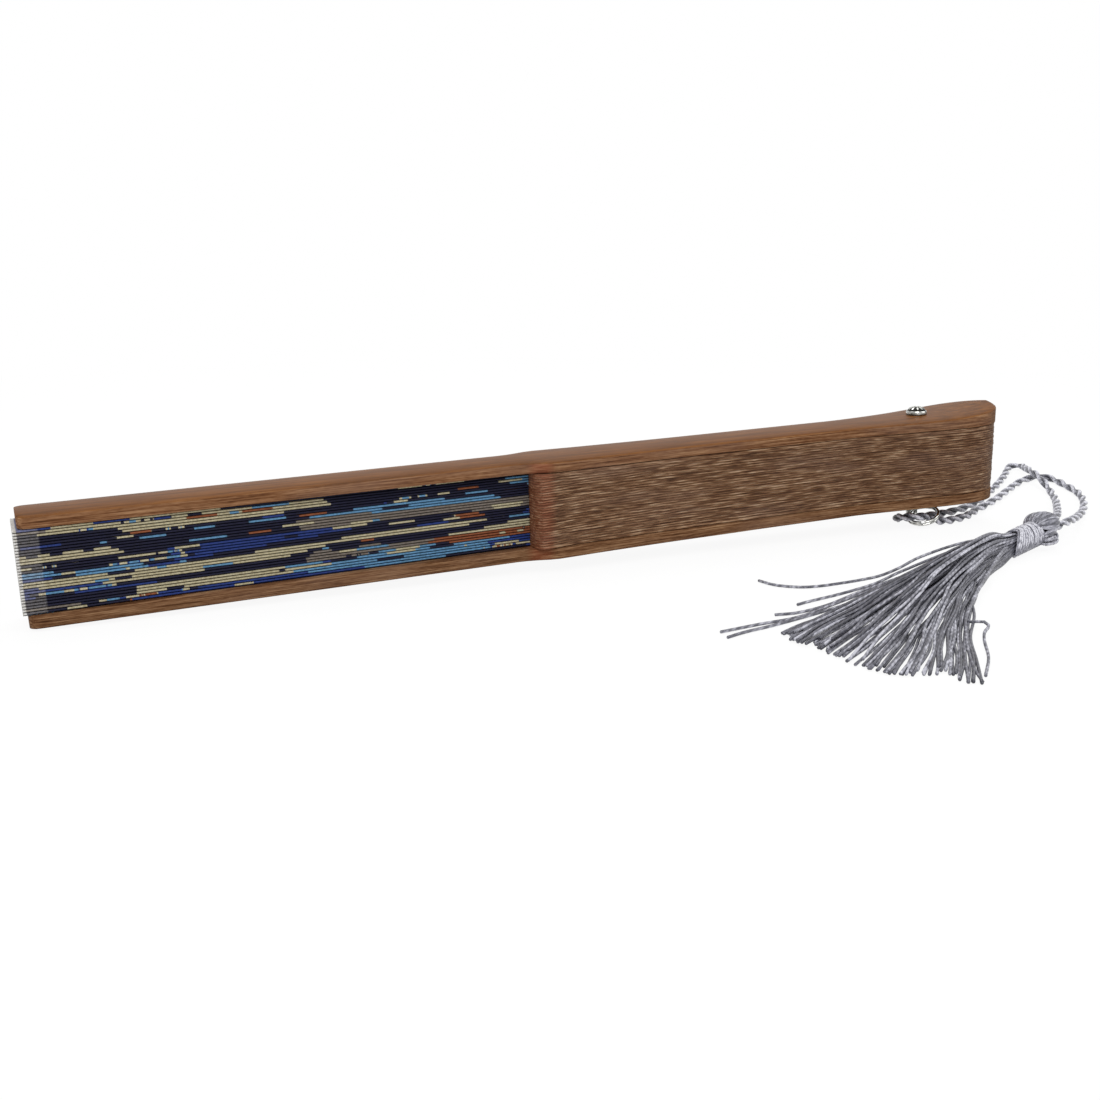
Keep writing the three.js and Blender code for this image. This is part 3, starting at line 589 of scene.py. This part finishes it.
# Binding: close fine turns round the neck, looser turns that come up over them on top, and a few loops

REACH_DOWN, NEAR_SIDE = 4.6, radians(192)
TURNS, TURN_R, TURN_SIDES, LOOSE_TURNS, LOOSE_R = 40, 0.2, 6, 13, 0.21


def wound(part, turn, radius, along):
    """A line round the neck whose first turns reach further down on the near side."""
    along = along - REACH_DOWN * (1 - part) ** 2 * np.maximum(0, np.cos(turn - NEAR_SIDE))
    return np.array([on_head(r * cos(t), r * sin(t), a) for r, t, a in zip(radius, turn, along)])


winding = Threads()
part = np.linspace(0, 1, TURNS * 26)
turn = 2 * np.pi * TURNS * part
radius = 2.5 + 0.05 * np.sin(turn * 0.21) + 0.05 * np.sin(turn * 2.0)
along = 0.25 + (BINDING_LONG - 0.5) * part + 0.05 * np.sin(turn * 0.37) + 0.04 * np.sin(turn * 1.3 + 1)
winding.lay(wound(part, turn, radius, along), TURN_R, TURN_SIDES, 0.0, 0.3)
part = np.linspace(0, 1, LOOSE_TURNS * 36)
turn = 2 * np.pi * LOOSE_TURNS * part + 0.5
radius = 2.45 + 0.4 * np.clip(1.4 * np.sin(turn - 0.45) - 0.3, 0, 1) * (0.8 + 0.2 * np.sin(turn * 0.3))
along = 0.6 + 7.2 * part + 0.35 * np.sin(turn + 0.8) + 0.12 * np.sin(turn * 0.43)
winding.lay(wound(part, turn, radius, along), LOOSE_R, TURN_SIDES, 0.5, 0.95)
# loops that hang out of the binding on the near side of the bun
rng = random.Random(17)
UNDER_LOOPS = 9
for i in range(UNDER_LOOPS):
    share = i / (UNDER_LOOPS - 1) - 0.5
    tip = BINDING_LONG + 4.2 + 0.8 * rng.random()
    side, up = -2.2 + 2.0 * share, -0.8 if i % 2 else -1.6
    bends = [
        (0.0, 0.0, BINDING_LONG - 0.8), (-0.3, -0.35, tip - 2.4), (-0.2, -0.3, tip - 0.6), (0.2, 0.1, tip),
        (0.3, 0.6, tip - 0.8), (0.2, 0.8, BINDING_LONG - 0.4),
    ]
    line = even_steps(smooth_path([on_head(side + x, up + y, at) for x, y, at in bends], 6), 0.4)
    winding.lay(line, LOOP_R, LOOP_SIDES, 0.43 * i, 0.3 + 0.6 * rng.random())
binding = winding.piece("tassel_neck_binding", BINDING_VISCOSE, "tassel_binding")

# Skirt: loose threads that puff up from the neck, sag to the table and part into locks at their ends

rng = random.Random(29)
skirt_threads = Threads()
THREADS, THREAD_R, THREAD_SIDES, LOCKS, CYCLE = 104, 0.275, 6, 24, 6.28
LOCK_PULL, RAGGED, NECK_R = 0.5, 5.0, 1.9
# distances from the neck: where a thread's end heading begins and how long it takes, and over what length
# it turns from the head's heading, leaves its place at the neck, falls to the pile and begins to sway
PART_FROM, PART_LONG, TURN_LONG, KEEP_LONG, FALL_LONG, SWAY_LONG = 32, 46, 11, 18, 10, 30
HEAD_BACK = HEAD_HEADING + pi
SKIRT_MID, SKIRT_SPREAD = radians(207), radians(18.5)
END_MID, END_SPREAD = radians(211), radians(25)
PILE_AT = [0, 10, 20, 30, 45, 60, 82]
PILE_HIGH = [5.6, 7.0, 7.2, 6.4, 4.6, 2.8, 0.8]
REACH_AT = [199, 202.5, 204, 207.5, 211, 214, 217, 219.5, 222, 224]
REACH = [78, 81, 80, 82, 84, 85, 84.5, 80, 83, 84]
LYING = THREAD_R + 0.05
for i in range(THREADS):
    share = ((i + 0.5) / THREADS) ** 1.2 - 0.5 + 0.012 * (rng.random() - 0.5)
    lock = (floor((share + 0.5) * LOCKS) + 0.5) / LOCKS - 0.5
    end_share = share + LOCK_PULL * (lock - share) + 0.03 * (rng.random() - 0.5)
    reach = np.interp(degrees(END_MID + END_SPREAD * end_share), REACH_AT, REACH)
    reach -= RAGGED * rng.random() ** 2
    layer = rng.random()
    # the pile is highest a little beyond the middle and thin on the near side
    mound = max(0.08, 1 - 3.0 * (share + 0.16) ** 2)
    wave, phase = 0.1 + 0.4 * rng.random(), CYCLE * rng.random()
    waves = 20 + 16 * rng.random()
    root_up = NECK_R * (2 * layer - 1) * sqrt(mound)
    root = on_head(-NECK_R * sin(pi * share), root_up, -0.2)
    line = [root + HEAD_WAY * 1.2, root]
    for s in (4, 9, 16, 26, 38, 50, 62, 72, reach):
        s = min(s, reach)
        late = min(1.0, max(0.0, (s - PART_FROM) / PART_LONG))
        early = SKIRT_MID + SKIRT_SPREAD * share
        heading = (1 - late) * early + late * (END_MID + END_SPREAD * end_share)
        heading = HEAD_BACK + (heading - HEAD_BACK) * (1 - exp(-s / TURN_LONG))
        way = pointing(heading, 0)
        at = NECK + (root - NECK) * max(0.0, 1 - s / KEEP_LONG) + way * s
        sway = wave * sin(CYCLE * s / waves + phase) * min(1, s / SWAY_LONG)
        at += np.array((-way[1], way[0], 0)) * sway
        top = np.interp(s, PILE_AT, PILE_HIGH)
        level = LYING + (top - LYING) * layer * (0.2 + 0.8 * mound)
        start = max(0.0, 1 - s / FALL_LONG)
        at[2] = max(LYING, start * root[2] + (1 - start) * level)
        line.append(at)
    line = even_steps(smooth_path(line, 8), 1.4)
    skirt_threads.lay(line, THREAD_R, THREAD_SIDES, 0.173 * i, rng.random() ** 1.3)
STRAYS = [
    [(-14, -36.2, 5.6), (-29.6, -38.7, 4.4), (-36.1, -40.3, 3.2), (-40.4, -40.3, 2.2),
     (-43.2, -38.8, 1.4), (-47.9, -37.5, 0.8), (-51.6, -36.6, 0.5), (-55.0, -35.4, 0.4),
     (-58.5, -32.2, 0.4), (-59.6, -28.3, 0.4)],
    [(-14, -37.0, 5.2), (-37.4, -42.5, 3.2), (-44.2, -43.8, 2.0), (-51.7, -43.7, 0.9),
     (-59.1, -44.1, 0.4), (-62.1, -44.9, 0.4)],
    [(-14, -37.6, 5.0), (-34, -42.4, 2.8), (-49.3, -46.1, 1.6), (-58.9, -48.7, 0.8),
     (-65.3, -49.1, 0.4), (-69.3, -48.5, 0.4)],
    [(-14, -37.8, 4.8), (-36, -43.6, 2.6), (-55.7, -48.8, 1.2), (-66.6, -51.6, 0.5),
     (-75.0, -52.1, 0.4), (-83.2, -53.1, 0.4)],
    [(-14, -38.2, 4.4), (-36, -44.4, 2.2), (-56, -50.2, 1.0), (-72.1, -53.4, 0.4), (-79.8, -54.9, 0.4),
     (-83.7, -56.1, 0.4)],
    [(-9, -39.2, 4.0), (-22, -49.0, 2.8), (-36, -60.5, 1.8), (-42.8, -67.4, 1.2), (-41.4, -69.6, 1.6),
     (-41.4, -70.8, 1.3), (-43.9, -72.6, 1.0), (-46.6, -75.5, 0.8), (-51.5, -81.9, 0.5),
     (-57.7, -88.1, 0.4)],
    [(-9, -39.4, 3.6), (-24, -50.6, 2.4), (-42, -66.0, 1.4), (-47, -71.6, 1.0), (-52.7, -78.7, 0.7),
     (-57.6, -85.7, 0.5), (-60.0, -90.0, 0.4)],
]
for i, points in enumerate(STRAYS):
    from_neck = [on_head(0, 0.4, 1.0), on_head(0, 0.4 - 0.2 * i, -0.4)]
    line = even_steps(smooth_path(from_neck + points, 10), 1.2)
    skirt_threads.lay(line, THREAD_R, THREAD_SIDES, 0.61 * i, 0.5)
skirt_threads.piece("tassel_skirt_threads", SKIRT_VISCOSE, "tassel_skirt")

# Hand modelling: pieces are shaped in millimetres round the rivet and then set on the fan


def take_up(obj):
    """Makes one object the active one and the only one selected."""
    bpy.ops.object.select_all(action="DESELECT")
    obj.select_set(True)
    bpy.context.view_layer.objects.active = obj


def open_piece(name):
    """Names the primitive just added and opens it for shaping."""
    obj = bpy.context.object
    obj.name = obj.data.name = name
    bpy.ops.object.mode_set(mode="EDIT")
    bpy.ops.mesh.select_mode(type="VERT")
    return obj


def pick_all():
    """Selects all of the piece that is open."""
    bpy.ops.mesh.select_all(action="SELECT")


def pick(obj, test):
    """Selects the points that pass a test of their place, with the edges and faces between them."""
    bpy.ops.mesh.select_all(action="DESELECT")
    mesh = bmesh.from_edit_mesh(obj.data)
    for v in mesh.verts:
        v.select = test(v.co)
    mesh.select_flush(True)
    bmesh.update_edit_mesh(obj.data)


def pick_faces(obj, test):
    """Selects the faces whose middles pass a test of their place, and leaves face mode on."""
    bpy.ops.mesh.select_mode(type="FACE")
    mesh = bmesh.from_edit_mesh(obj.data)
    for f in mesh.faces:
        f.select = test(f.calc_center_median())
    bmesh.update_edit_mesh(obj.data)


def raise_by(z):
    """Raises what is selected."""
    bpy.ops.transform.translate(value=(0, 0, z))


def extrude(x, y, z):
    """Draws out what is selected."""
    bpy.ops.mesh.extrude_region_move(TRANSFORM_OT_translate={"value": (x, y, z)})


def close_piece(smooth_angle):
    """Turns the piece's faces outwards, leaves edit mode and smooths shallow edges."""
    bpy.ops.mesh.select_mode(type="VERT")
    pick_all()
    bpy.ops.mesh.normals_make_consistent(inside=False)
    bpy.ops.object.mode_set(mode="OBJECT")
    bpy.ops.object.shade_smooth_by_angle(angle=radians(smooth_angle))


def set_on_fan(obj, x=0.0, y=0.0, z=0.0, wide=1.0, turn=0.0):
    """Puts a finished piece into its place on the leaning fan, with the place in its mesh."""
    take_up(obj)
    obj.rotation_mode = "XYZ"
    obj.rotation_euler = (turn, -LEAN, 0)
    obj.scale = (MM, MM * wide, MM)
    obj.location = on_fan(x, y, z)
    bpy.ops.object.transform_apply()


def bore(obj):
    """Cuts the rivet's hole through a stick."""
    bpy.ops.mesh.primitive_cylinder_add(vertices=32, radius=RIVET_HOLE_R, depth=BORE_LONG)
    drill = bpy.context.object
    bpy.context.view_layer.objects.active = obj
    cut = obj.modifiers.new("rivet_hole", "BOOLEAN")
    cut.operation, cut.object, cut.solver = "DIFFERENCE", drill, "EXACT"
    bpy.ops.object.modifier_apply(modifier=cut.name)
    bpy.data.objects.remove(drill)


def finish_piece(obj, finish, body, slot, node):
    """Gives a modelled piece its one finish and says where it belongs."""
    obj.data.materials.clear()
    obj.data.materials.append(finish)
    belong(obj, body, slot, node)


# Sticks: half width along the fan, tip first

WAIST_FROM, WAIST_TO, GUARD_JOIN, BORE_LONG = -0.59 * SHOULDER, -1.05 * TAIL, -90.5, 20
BODY_KEYS = [
    (-SHOULDER, SHOULDER_HALF - CORNER),
    (-SHOULDER + 0.3 * CORNER, SHOULDER_HALF - 0.3 * CORNER),
    (-SHOULDER + CORNER, SHOULDER_HALF),
    (-0.936 * SHOULDER, WAIST_HALF + 0.66 * (SHOULDER_HALF - WAIST_HALF)),
    (-0.776 * SHOULDER, WAIST_HALF + 0.18 * (SHOULDER_HALF - WAIST_HALF)),
    (WAIST_FROM, WAIST_HALF),
    (WAIST_TO, WAIST_HALF),
    (-0.52 * TAIL, WAIST_HALF + 0.36 * (HEAD_HALF - WAIST_HALF)),
    (-0.07 * TAIL, WAIST_HALF + 0.74 * (HEAD_HALF - WAIST_HALF)),
    (0.2 * TAIL, WAIST_HALF + 0.94 * (HEAD_HALF - WAIST_HALF)),
    (HEAD_WIDEST, HEAD_HALF),
]


def eased_widths(keys, step):
    """Half widths between the keys on a smooth line that doesn't overshoot them."""
    xs, ws = np.array(keys).T
    slope = np.gradient(ws, xs)
    rise = np.diff(ws)
    slope[[0, -1]] = 0
    slope[1:-1][rise[:-1] * rise[1:] <= 0] = 0
    out = []
    for i in range(len(xs) - 1):
        span = xs[i + 1] - xs[i]
        for t in np.linspace(0, 1, max(2, int(span / step)), endpoint=False):
            near = (2 * t**3 - 3 * t**2 + 1) * ws[i] + (t**3 - 2 * t**2 + t) * span * slope[i]
            far = (3 * t**2 - 2 * t**3) * ws[i + 1] + (t**3 - t**2) * span * slope[i + 1]
            out.append((float(xs[i] + t * span), float(near + far)))
    out.append((float(xs[-1]), float(ws[-1])))
    return out


BODY = eased_widths(BODY_KEYS, 3.0)
for turned in (8, 16, 24, 32, 40, 48, 56, 64, 71, 77, 82, 86):
    a = radians(turned)
    BODY.append((
        HEAD_WIDEST + (TAIL - HEAD_WIDEST) * sin(a) ** (2 / TAIL_SQUARE),
        HEAD_HALF * cos(a) ** (2 / TAIL_SQUARE),
    ))
# the rounded corner at the tip as shares of its size, and the straight part along the leaf
TIP_CORNER = [(0, 1), (0.06, 0.66), (0.3, 0.29), (0.62, 0.07), (1, 0)]
LEAF_PART = [(-TIP + back * CORNER, TIP_HALF - inward * CORNER) for back, inward in TIP_CORNER]
LEAF_PART += [(-165.0, TIP_HALF), (-130.0, TIP_HALF)]
# a guard's shoulder rises more gently than a rib's
GUARD_SHOULDER = [(-100.0, TIP_HALF), (-98.0, 5.65), (-96.0, 6.2), (-94.0, 6.9), (-92.0, 7.25)]
GUARD_LINE = LEAF_PART + GUARD_SHOULDER + [station for station in BODY if station[0] > GUARD_JOIN]


def draw_out(stations):
    """Draws the open end of a stick along the fan, from one half width to the next."""
    x, half = stations[0]
    for next_x, next_half in stations[1:]:
        extrude(next_x - x, 0, 0)
        bpy.ops.transform.resize(value=(1, next_half / half, 1))
        x, half = next_x, next_half


def stick_section(name, x, half, thick):
    """An upright plate across the fan, its inner edge at zero, ready to be drawn out."""
    bpy.ops.mesh.primitive_plane_add(size=2, rotation=(0, pi / 2, 0))
    bpy.ops.object.transform_apply()
    obj = open_piece(name)
    pick_all()
    bpy.ops.transform.resize(value=(1, half, thick / 2))
    bpy.ops.transform.translate(value=(x, 0, thick / 2))
    return obj


def tail_swell(x):
    """How much thicker the front guard is towards its tail."""
    return TAIL_SWELL * max(0.0, (x - SWELL_START) / (TAIL - SWELL_START)) ** 3


def rivet_relief(x):
    """How much thinner the back guard is towards the rivet."""
    part = min(1.0, max(0.0, (x - WAIST_FROM) / (WAIST_TO - WAIST_FROM)))
    return -HEAD_RELIEF * part * part * (3 - 2 * part)


CROWN_REACH, INNER_EDGE = 0.97, 0.25
GUARD_SMOOTH, RIB_SMOOTH, METAL_SMOOTH = 35, 30, 40


def guard(name, edge, crown, lift, least):
    """A bored guard with its inner face at zero: square sides and a crowned outer skin with soft edges.
    The skin above a level is raised at each station by what the fan needs there."""
    x, half = GUARD_LINE[0]
    thick = edge + crown
    stretch = CROWN_REACH * half / crown
    obj = stick_section(name, x, half, thick * stretch)
    pick(obj, lambda p: p.z > 0.5 * thick * stretch)
    bpy.ops.mesh.bevel(offset=CROWN_REACH * half, segments=9, affect="VERTICES")
    pick_all()
    bpy.ops.object.mode_set(mode="OBJECT")
    obj.scale = (1, 1, 1 / stretch)
    bpy.ops.object.transform_apply(location=False, rotation=False, scale=True)
    bpy.ops.object.mode_set(mode="EDIT")
    pick(obj, lambda p: p.z < 0.01)
    bpy.ops.mesh.bevel(offset=INNER_EDGE, segments=3, affect="VERTICES")
    pick_all()
    draw_out(GUARD_LINE)
    for x, _ in GUARD_LINE:
        if abs(lift(x)) > 1e-4:
            pick(obj, lambda p: abs(p.x - x) < 0.01 and p.z > least)
            raise_by(lift(x))
    close_piece(GUARD_SMOOTH)
    bore(obj)
    return obj


front_guard = guard("front_guard_stick", FRONT_EDGE, FRONT_CROWN, tail_swell, 0.5 * FRONT_EDGE)
set_on_fan(front_guard, z=STACK_TOP)
finish_piece(front_guard, FRONT_BAMBOO, "front", "guard_bamboo", "front_guard")
back_guard = guard("back_guard_stick", GUARD_EDGE, GUARD_CROWN, rivet_relief,
                   GUARD_EDGE + 0.3 * GUARD_CROWN)
set_on_fan(back_guard, z=STACK_BOTTOM, turn=pi)
finish_piece(back_guard, BACK_BAMBOO, "base", "guard_bamboo", "back_guard")

# Ribs: one blade with its slip is drawn out and copied; each copy is planed a little differently

SLIP_HALF_TIP, SLIP_HALF_START, SLIP_EDGE = 1.8, 2.4, 0.035
SLIP_TIP = SLIP_SHORT - TIP
FIRST_RIB_DROP, LAST_RIB_RISE = -0.2, 0.36
# how much narrower a rib can be, and how far it can lie out of line along and across the fan
NARROWER, OUT_ALONG, OUT_ACROSS = 0.016, 0.04, 0.14
rib_blade = stick_section("rib_blade_00", SLIP_TIP, SLIP_HALF_TIP, SLIP_THICK)
bpy.ops.mesh.bevel(offset=SLIP_EDGE, segments=2, affect="VERTICES")
pick_all()
shoulder_half = BODY[0][1] - RIB_INSET
draw_out([(SLIP_TIP, SLIP_HALF_TIP), (-SHOULDER, SLIP_HALF_START), (-SHOULDER, shoulder_half)])
bpy.ops.transform.resize(value=(1, 1, RIB_THICK / SLIP_THICK))
raise_by((RIB_THICK - SLIP_THICK) / 2 - BLADE_DROP)
draw_out([(x, half - RIB_INSET) for x, half in BODY])
close_piece(RIB_SMOOTH)
bore(rib_blade)


def on_blade(p):
    """Whether a point of a rib is on its blade and not on its slip."""
    past = p.x + SHOULDER
    return past > 0.01 or past > -0.01 and abs(p.y) > SLIP_HALF_START + 0.1


rng = random.Random(5)
for k in range(1, RIBS + 1):
    take_up(rib_blade)
    bpy.ops.object.duplicate(linked=False)
    obj = open_piece("rib_blade_%02d" % k)
    # the outermost ribs lie close against the guards
    middle = SLIP_THICK / 2
    if k == 1:
        pick(obj, lambda p: on_blade(p) and p.z < middle)
        raise_by(FIRST_RIB_DROP)
    elif k == RIBS:
        pick(obj, lambda p: on_blade(p) and p.z > middle)
        raise_by(LAST_RIB_RISE)
    bpy.ops.object.mode_set(mode="OBJECT")
    wide = 1 - NARROWER * rng.random()
    x, y = OUT_ALONG * (rng.random() - 0.5), OUT_ACROSS * (rng.random() - 0.5)
    set_on_fan(obj, x, y, panel_level(k) - LAYER_GAP - SLIP_THICK, wide)
    finish_piece(obj, RIB_BAMBOO, "rib_%02d" % k, "rib_bamboo", "rib_%02d" % k)
bpy.data.objects.remove(rib_blade)

# Leaf: a pleat from each stick to the next, mapped in the leaf's own flat shape

PANEL_TURN = OPEN_STEP / 4
PLEAT_HALF_START, PLEAT_HALF_TIP = 3.6, 5.2
FOLD_IN, FREE_LOW, FREE_RISE, UNEVEN = 0.19, 0.10, 0.06, 0.16
GLUED_STEPS, FREE_STEPS = 6, 12
# insets and levels round a near fold
NEAR_FOLD = [(0.10, 0.19), (0.03, 0.26), (0.0, 0.35), (0.03, 0.44), (0.10, 0.49), (FOLD_IN, PITCH)]


def eased_back(u):
    """The share t at which 3 t t - 2 t t t is u, so that a pleat turns evenly as the fan opens."""
    return 0.5 - sin(asin(1 - 2 * u) / 3)


def leaf_section(k):
    """Across one pleat: side, inset, level, turn on the flat leaf, and share of the way to the next."""
    middle = k * OPEN_STEP
    section = []
    for i in range(GLUED_STEPS + 1):
        u = i / GLUED_STEPS
        section.append((2 * u - 1, FOLD_IN * (1 - u), 0.0, middle + PANEL_TURN * (2 * u - 1), 0.0))
    if k > RIBS:
        return section
    section.append((1.0, 0.02, 0.05, middle + PANEL_TURN, 0.0))
    for i in range(FREE_STEPS + 1):
        u = i / FREE_STEPS
        level = FREE_LOW + FREE_RISE * eased_back(u)
        section.append((1 - 2 * u, FOLD_IN * u, level, middle + PANEL_TURN * (1 + 2 * u), u))
    near_fold = middle + OPEN_STEP - PANEL_TURN
    for inset, level in NEAR_FOLD:
        section.append((-1.0, inset, level, near_fold, 1.0))
    return section


LEAF_ROWS = [-LEAF_END, -LEAF_END + 0.5, -LEAF_END + 1.5, -LEAF_END + 5]
LEAF_ROWS += list(np.linspace(-180, -LEAF_START - 3, 9)) + [-LEAF_START]
rng = random.Random(3)
uneven = [UNEVEN * (rng.random() - 0.5) for _ in range(RIBS + 2)]
uneven.append(uneven[-1])
for k in range(RIBS + 2):
    level = panel_level(k) + PAPER / 2
    section = leaf_section(k)
    verts, flat_map, faces = [], [], []
    for x in LEAF_ROWS:
        share = (-x - LEAF_START) / (LEAF_END - LEAF_START)
        for side, inset, lift, turn, onward in section:
            jitter = uneven[k] + (uneven[k + 1] - uneven[k]) * onward
            half = PLEAT_HALF_START + (PLEAT_HALF_TIP - PLEAT_HALF_START + jitter) * share
            verts.append(on_fan(x, side * half + inset, level + lift))
            flat_map.append((-x * MM * cos(turn), -x * MM * sin(turn)))
    count = len(section)
    for i in range(len(LEAF_ROWS) - 1):
        for a in range(i * count, (i + 1) * count - 1):
            faces.append((a, a + 1, a + 1 + count, a + count))
    corners = [flat_map[v] for face in faces for v in face]
    pleat = soft_mesh("leaf_pleat_%02d" % (k + 1), verts, faces, "flat_leaf", corners, LEAF_PAPER)
    if k <= RIBS:
        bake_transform(pleat)
    else:
        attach(pleat, "front")
    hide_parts("leaf")

# Rivet: a domed head with raised petals on a sunk ground, on a shank, and an eye below

SEAT_GAP = 0.1
SEAT = STACK_TOP + FRONT_EDGE + tail_swell(RIVET_HEAD_R) + FRONT_CROWN + SEAT_GAP
SHANK_BOTTOM, HEAD_EDGE, DOME_HIGH = -0.75, 0.16, 1.5
PETALS, PETAL_HALF = 9, radians(8)
PETAL_FROM, PETAL_TO, GROUND_R = 0.5, 1.85, 2.1
GROUND_SLOPE, GROUND_DEEP = 0.03, 0.12


def on_ground(at):
    """Whether a place on the rivet's dome lies between the petals."""
    r, turn = hypot(at.x, at.y), atan2(at.y, at.x)
    off = abs((turn + pi / PETALS) % (2 * pi / PETALS) - pi / PETALS)
    width = PETAL_HALF * (0.35 + 0.65 * sin(pi * (r - PETAL_FROM) / (PETAL_TO - PETAL_FROM)))
    in_petal = PETAL_FROM < r < PETAL_TO and off < width
    return at.z > SEAT + HEAD_EDGE and r < GROUND_R and not in_petal


bpy.ops.mesh.primitive_uv_sphere_add(segments=96, ring_count=48, radius=RIVET_HEAD_R)
bpy.context.object.scale = (1, 1, DOME_HIGH / RIVET_HEAD_R)
bpy.ops.object.transform_apply()
rivet = open_piece("rivet_with_eye")
rivet.data.materials.append(RIVET_NICKEL)
rivet.data.materials.append(RIVET_RECESS)
pick_all()
bpy.ops.mesh.bisect(plane_co=(0, 0, 0), plane_no=(0, 0, 1), clear_inner=True)
pick_all()
raise_by(SEAT + HEAD_EDGE)
pick(rivet, lambda p: p.z < SEAT + HEAD_EDGE + 0.001)
extrude(0, 0, -HEAD_EDGE)
extrude(0, 0, 0)
bpy.ops.transform.resize(value=(RIVET_R / RIVET_HEAD_R, RIVET_R / RIVET_HEAD_R, 1))
extrude(0, 0, SHANK_BOTTOM - SEAT)
bpy.ops.mesh.edge_face_add()
pick_faces(rivet, on_ground)
bpy.ops.mesh.inset(thickness=GROUND_SLOPE, depth=-GROUND_DEEP)
rivet.active_material_index = 1
bpy.ops.object.material_slot_assign()
close_piece(METAL_SMOOTH)
bpy.ops.mesh.primitive_torus_add(
    major_radius=EYE_R, minor_radius=EYE_WIRE_R, major_segments=48, minor_segments=16,
    location=(0, 0, EYE_LEVEL), rotation=(0, pi / 2, RING_HEADING + pi / 2),
)
eye = bpy.context.object
bpy.ops.object.transform_apply()
bpy.ops.object.shade_smooth()
eye.data.materials.append(RIVET_NICKEL)
rivet.select_set(True)
bpy.context.view_layer.objects.active = rivet
bpy.ops.object.join()
set_on_fan(rivet)
belong(rivet, "pendant", "rivet_metal", "rivet")

# Washer under the back guard

WASHER_R, WASHER_TOP, WASHER_THICK, WASHER_EDGE = 2.4, 0.15, 0.5, 0.1
bpy.ops.mesh.primitive_cylinder_add(vertices=64, radius=WASHER_R, depth=WASHER_THICK,
                                    location=(0, 0, WASHER_TOP - WASHER_THICK / 2))
bpy.ops.object.transform_apply()
washer = open_piece("rivet_back_washer")
bpy.ops.mesh.select_mode(type="EDGE")
bpy.ops.mesh.select_all(action="DESELECT")
mesh = bmesh.from_edit_mesh(washer.data)
for e in mesh.edges:
    e.select = abs(e.verts[0].co.z - e.verts[1].co.z) < 1e-4
bmesh.update_edit_mesh(washer.data)
bpy.ops.mesh.bevel(offset=WASHER_EDGE, segments=3, affect="EDGES")
close_piece(GUARD_SMOOTH)
bore(washer)
set_on_fan(washer)
finish_piece(washer, RIVET_NICKEL, "base", "rivet_metal", "rivet_washer")

# Ring: two coils of bright wire side by side, the upper one cut at the front left

RING_COIL_R = 0.3
CUT_AT, CUT_HALF = radians(222), radians(4.6)
bpy.ops.mesh.primitive_torus_add(major_radius=RING_R, minor_radius=RING_COIL_R, major_segments=120,
                                 minor_segments=12)
ring = open_piece("split_ring")
pick_all()
raise_by(-RING_COIL_R)
bpy.ops.mesh.duplicate_move(TRANSFORM_OT_translate={"value": (0, 0, 2 * RING_COIL_R)})
pick_faces(ring, lambda at: at.z > 0 and abs(atan2(at.y, at.x) % (2 * pi) - CUT_AT) < CUT_HALF)
bpy.ops.mesh.delete(type="FACE")
bpy.ops.mesh.select_mode(type="VERT")
pick_all()
bpy.ops.mesh.fill_holes(sides=20)
close_piece(METAL_SMOOTH)
ring_axis = np.cross(RING_SIDE, -RING_OUT)
axes = Matrix((RING_SIDE, -RING_OUT, ring_axis)).transposed().to_4x4()
ring.matrix_world = Matrix.Translation(on_table(*RING_CENTRE)) @ axes @ Matrix.Scale(MM, 4)
bpy.ops.object.transform_apply()
finish_piece(ring, RING_NICKEL, "pendant", "ring_metal", "ring")

# Table top, backdrop and light


def in_view(node):
    """One for rays that show a thing to the camera, also in a mirror or through glass; else nought."""
    rays = node("LightPath").outputs
    indirect = maths(node, "MAXIMUM", rays["Is Glossy Ray"], rays["Is Transmission Ray"])
    return maths(node, "MAXIMUM", rays["Is Camera Ray"], indirect)


# a matt white table top that looks almost evenly white, and whiter further off, with soft shadows
floor_finish, node, surface = new_finish("pale_table_top", 0.9, specular=0.1)
fill(surface, {"Base Color": rgb("f3f3f3")})
place = node("TexCoord").outputs["Object"]
far = node("VectorMath", {0: place}, operation="LENGTH").outputs["Value"]
share = ranged(node, far, 0.16, 0.4, 0.92, 1.0)
white = maths(node, "MULTIPLY", in_view(node), share)
glow = node("Emission", {"Color": rgb("ffffff"), "Strength": 1.0})
both = node("MixShader", {0: white, 1: surface, 2: glow})
fill(floor_finish.node_tree.nodes["Material Output"], {"Surface": both})
bpy.ops.mesh.primitive_plane_add(size=8)
table_top = bpy.context.object
table_top.name = "table_top"
table_top.data.materials.append(floor_finish)

world = bpy.data.worlds.new("white_studio")
SCENE.world = world
world.use_nodes = True
node = partial(add_node, world.node_tree)
strength = ranged(node, in_view(node), 0, 1, 0.55, 1.0)
fill(world.node_tree.nodes["Background"], {"Color": rgb("ffffff"), "Strength": strength})

LAMPS = [
    ("key_lamp", (-0.5, -0.9, 1.0), 0.9, 11),
    ("fill_lamp", (0.9, -0.6, 0.7), 0.9, 4),
    ("top_lamp", (0.1, 0.4, 1.1), 0.8, 5),
]
LIT_PLACE = Vector((0.02, 0, 0.01))
for name, place, size, power in LAMPS:
    light = bpy.data.lights.new(name, "AREA")
    light.shape, light.size, light.energy = "DISK", size, power
    aimed(name, light, place, LIT_PLACE - Vector(place))
SCENE.view_settings.view_transform = "Standard"
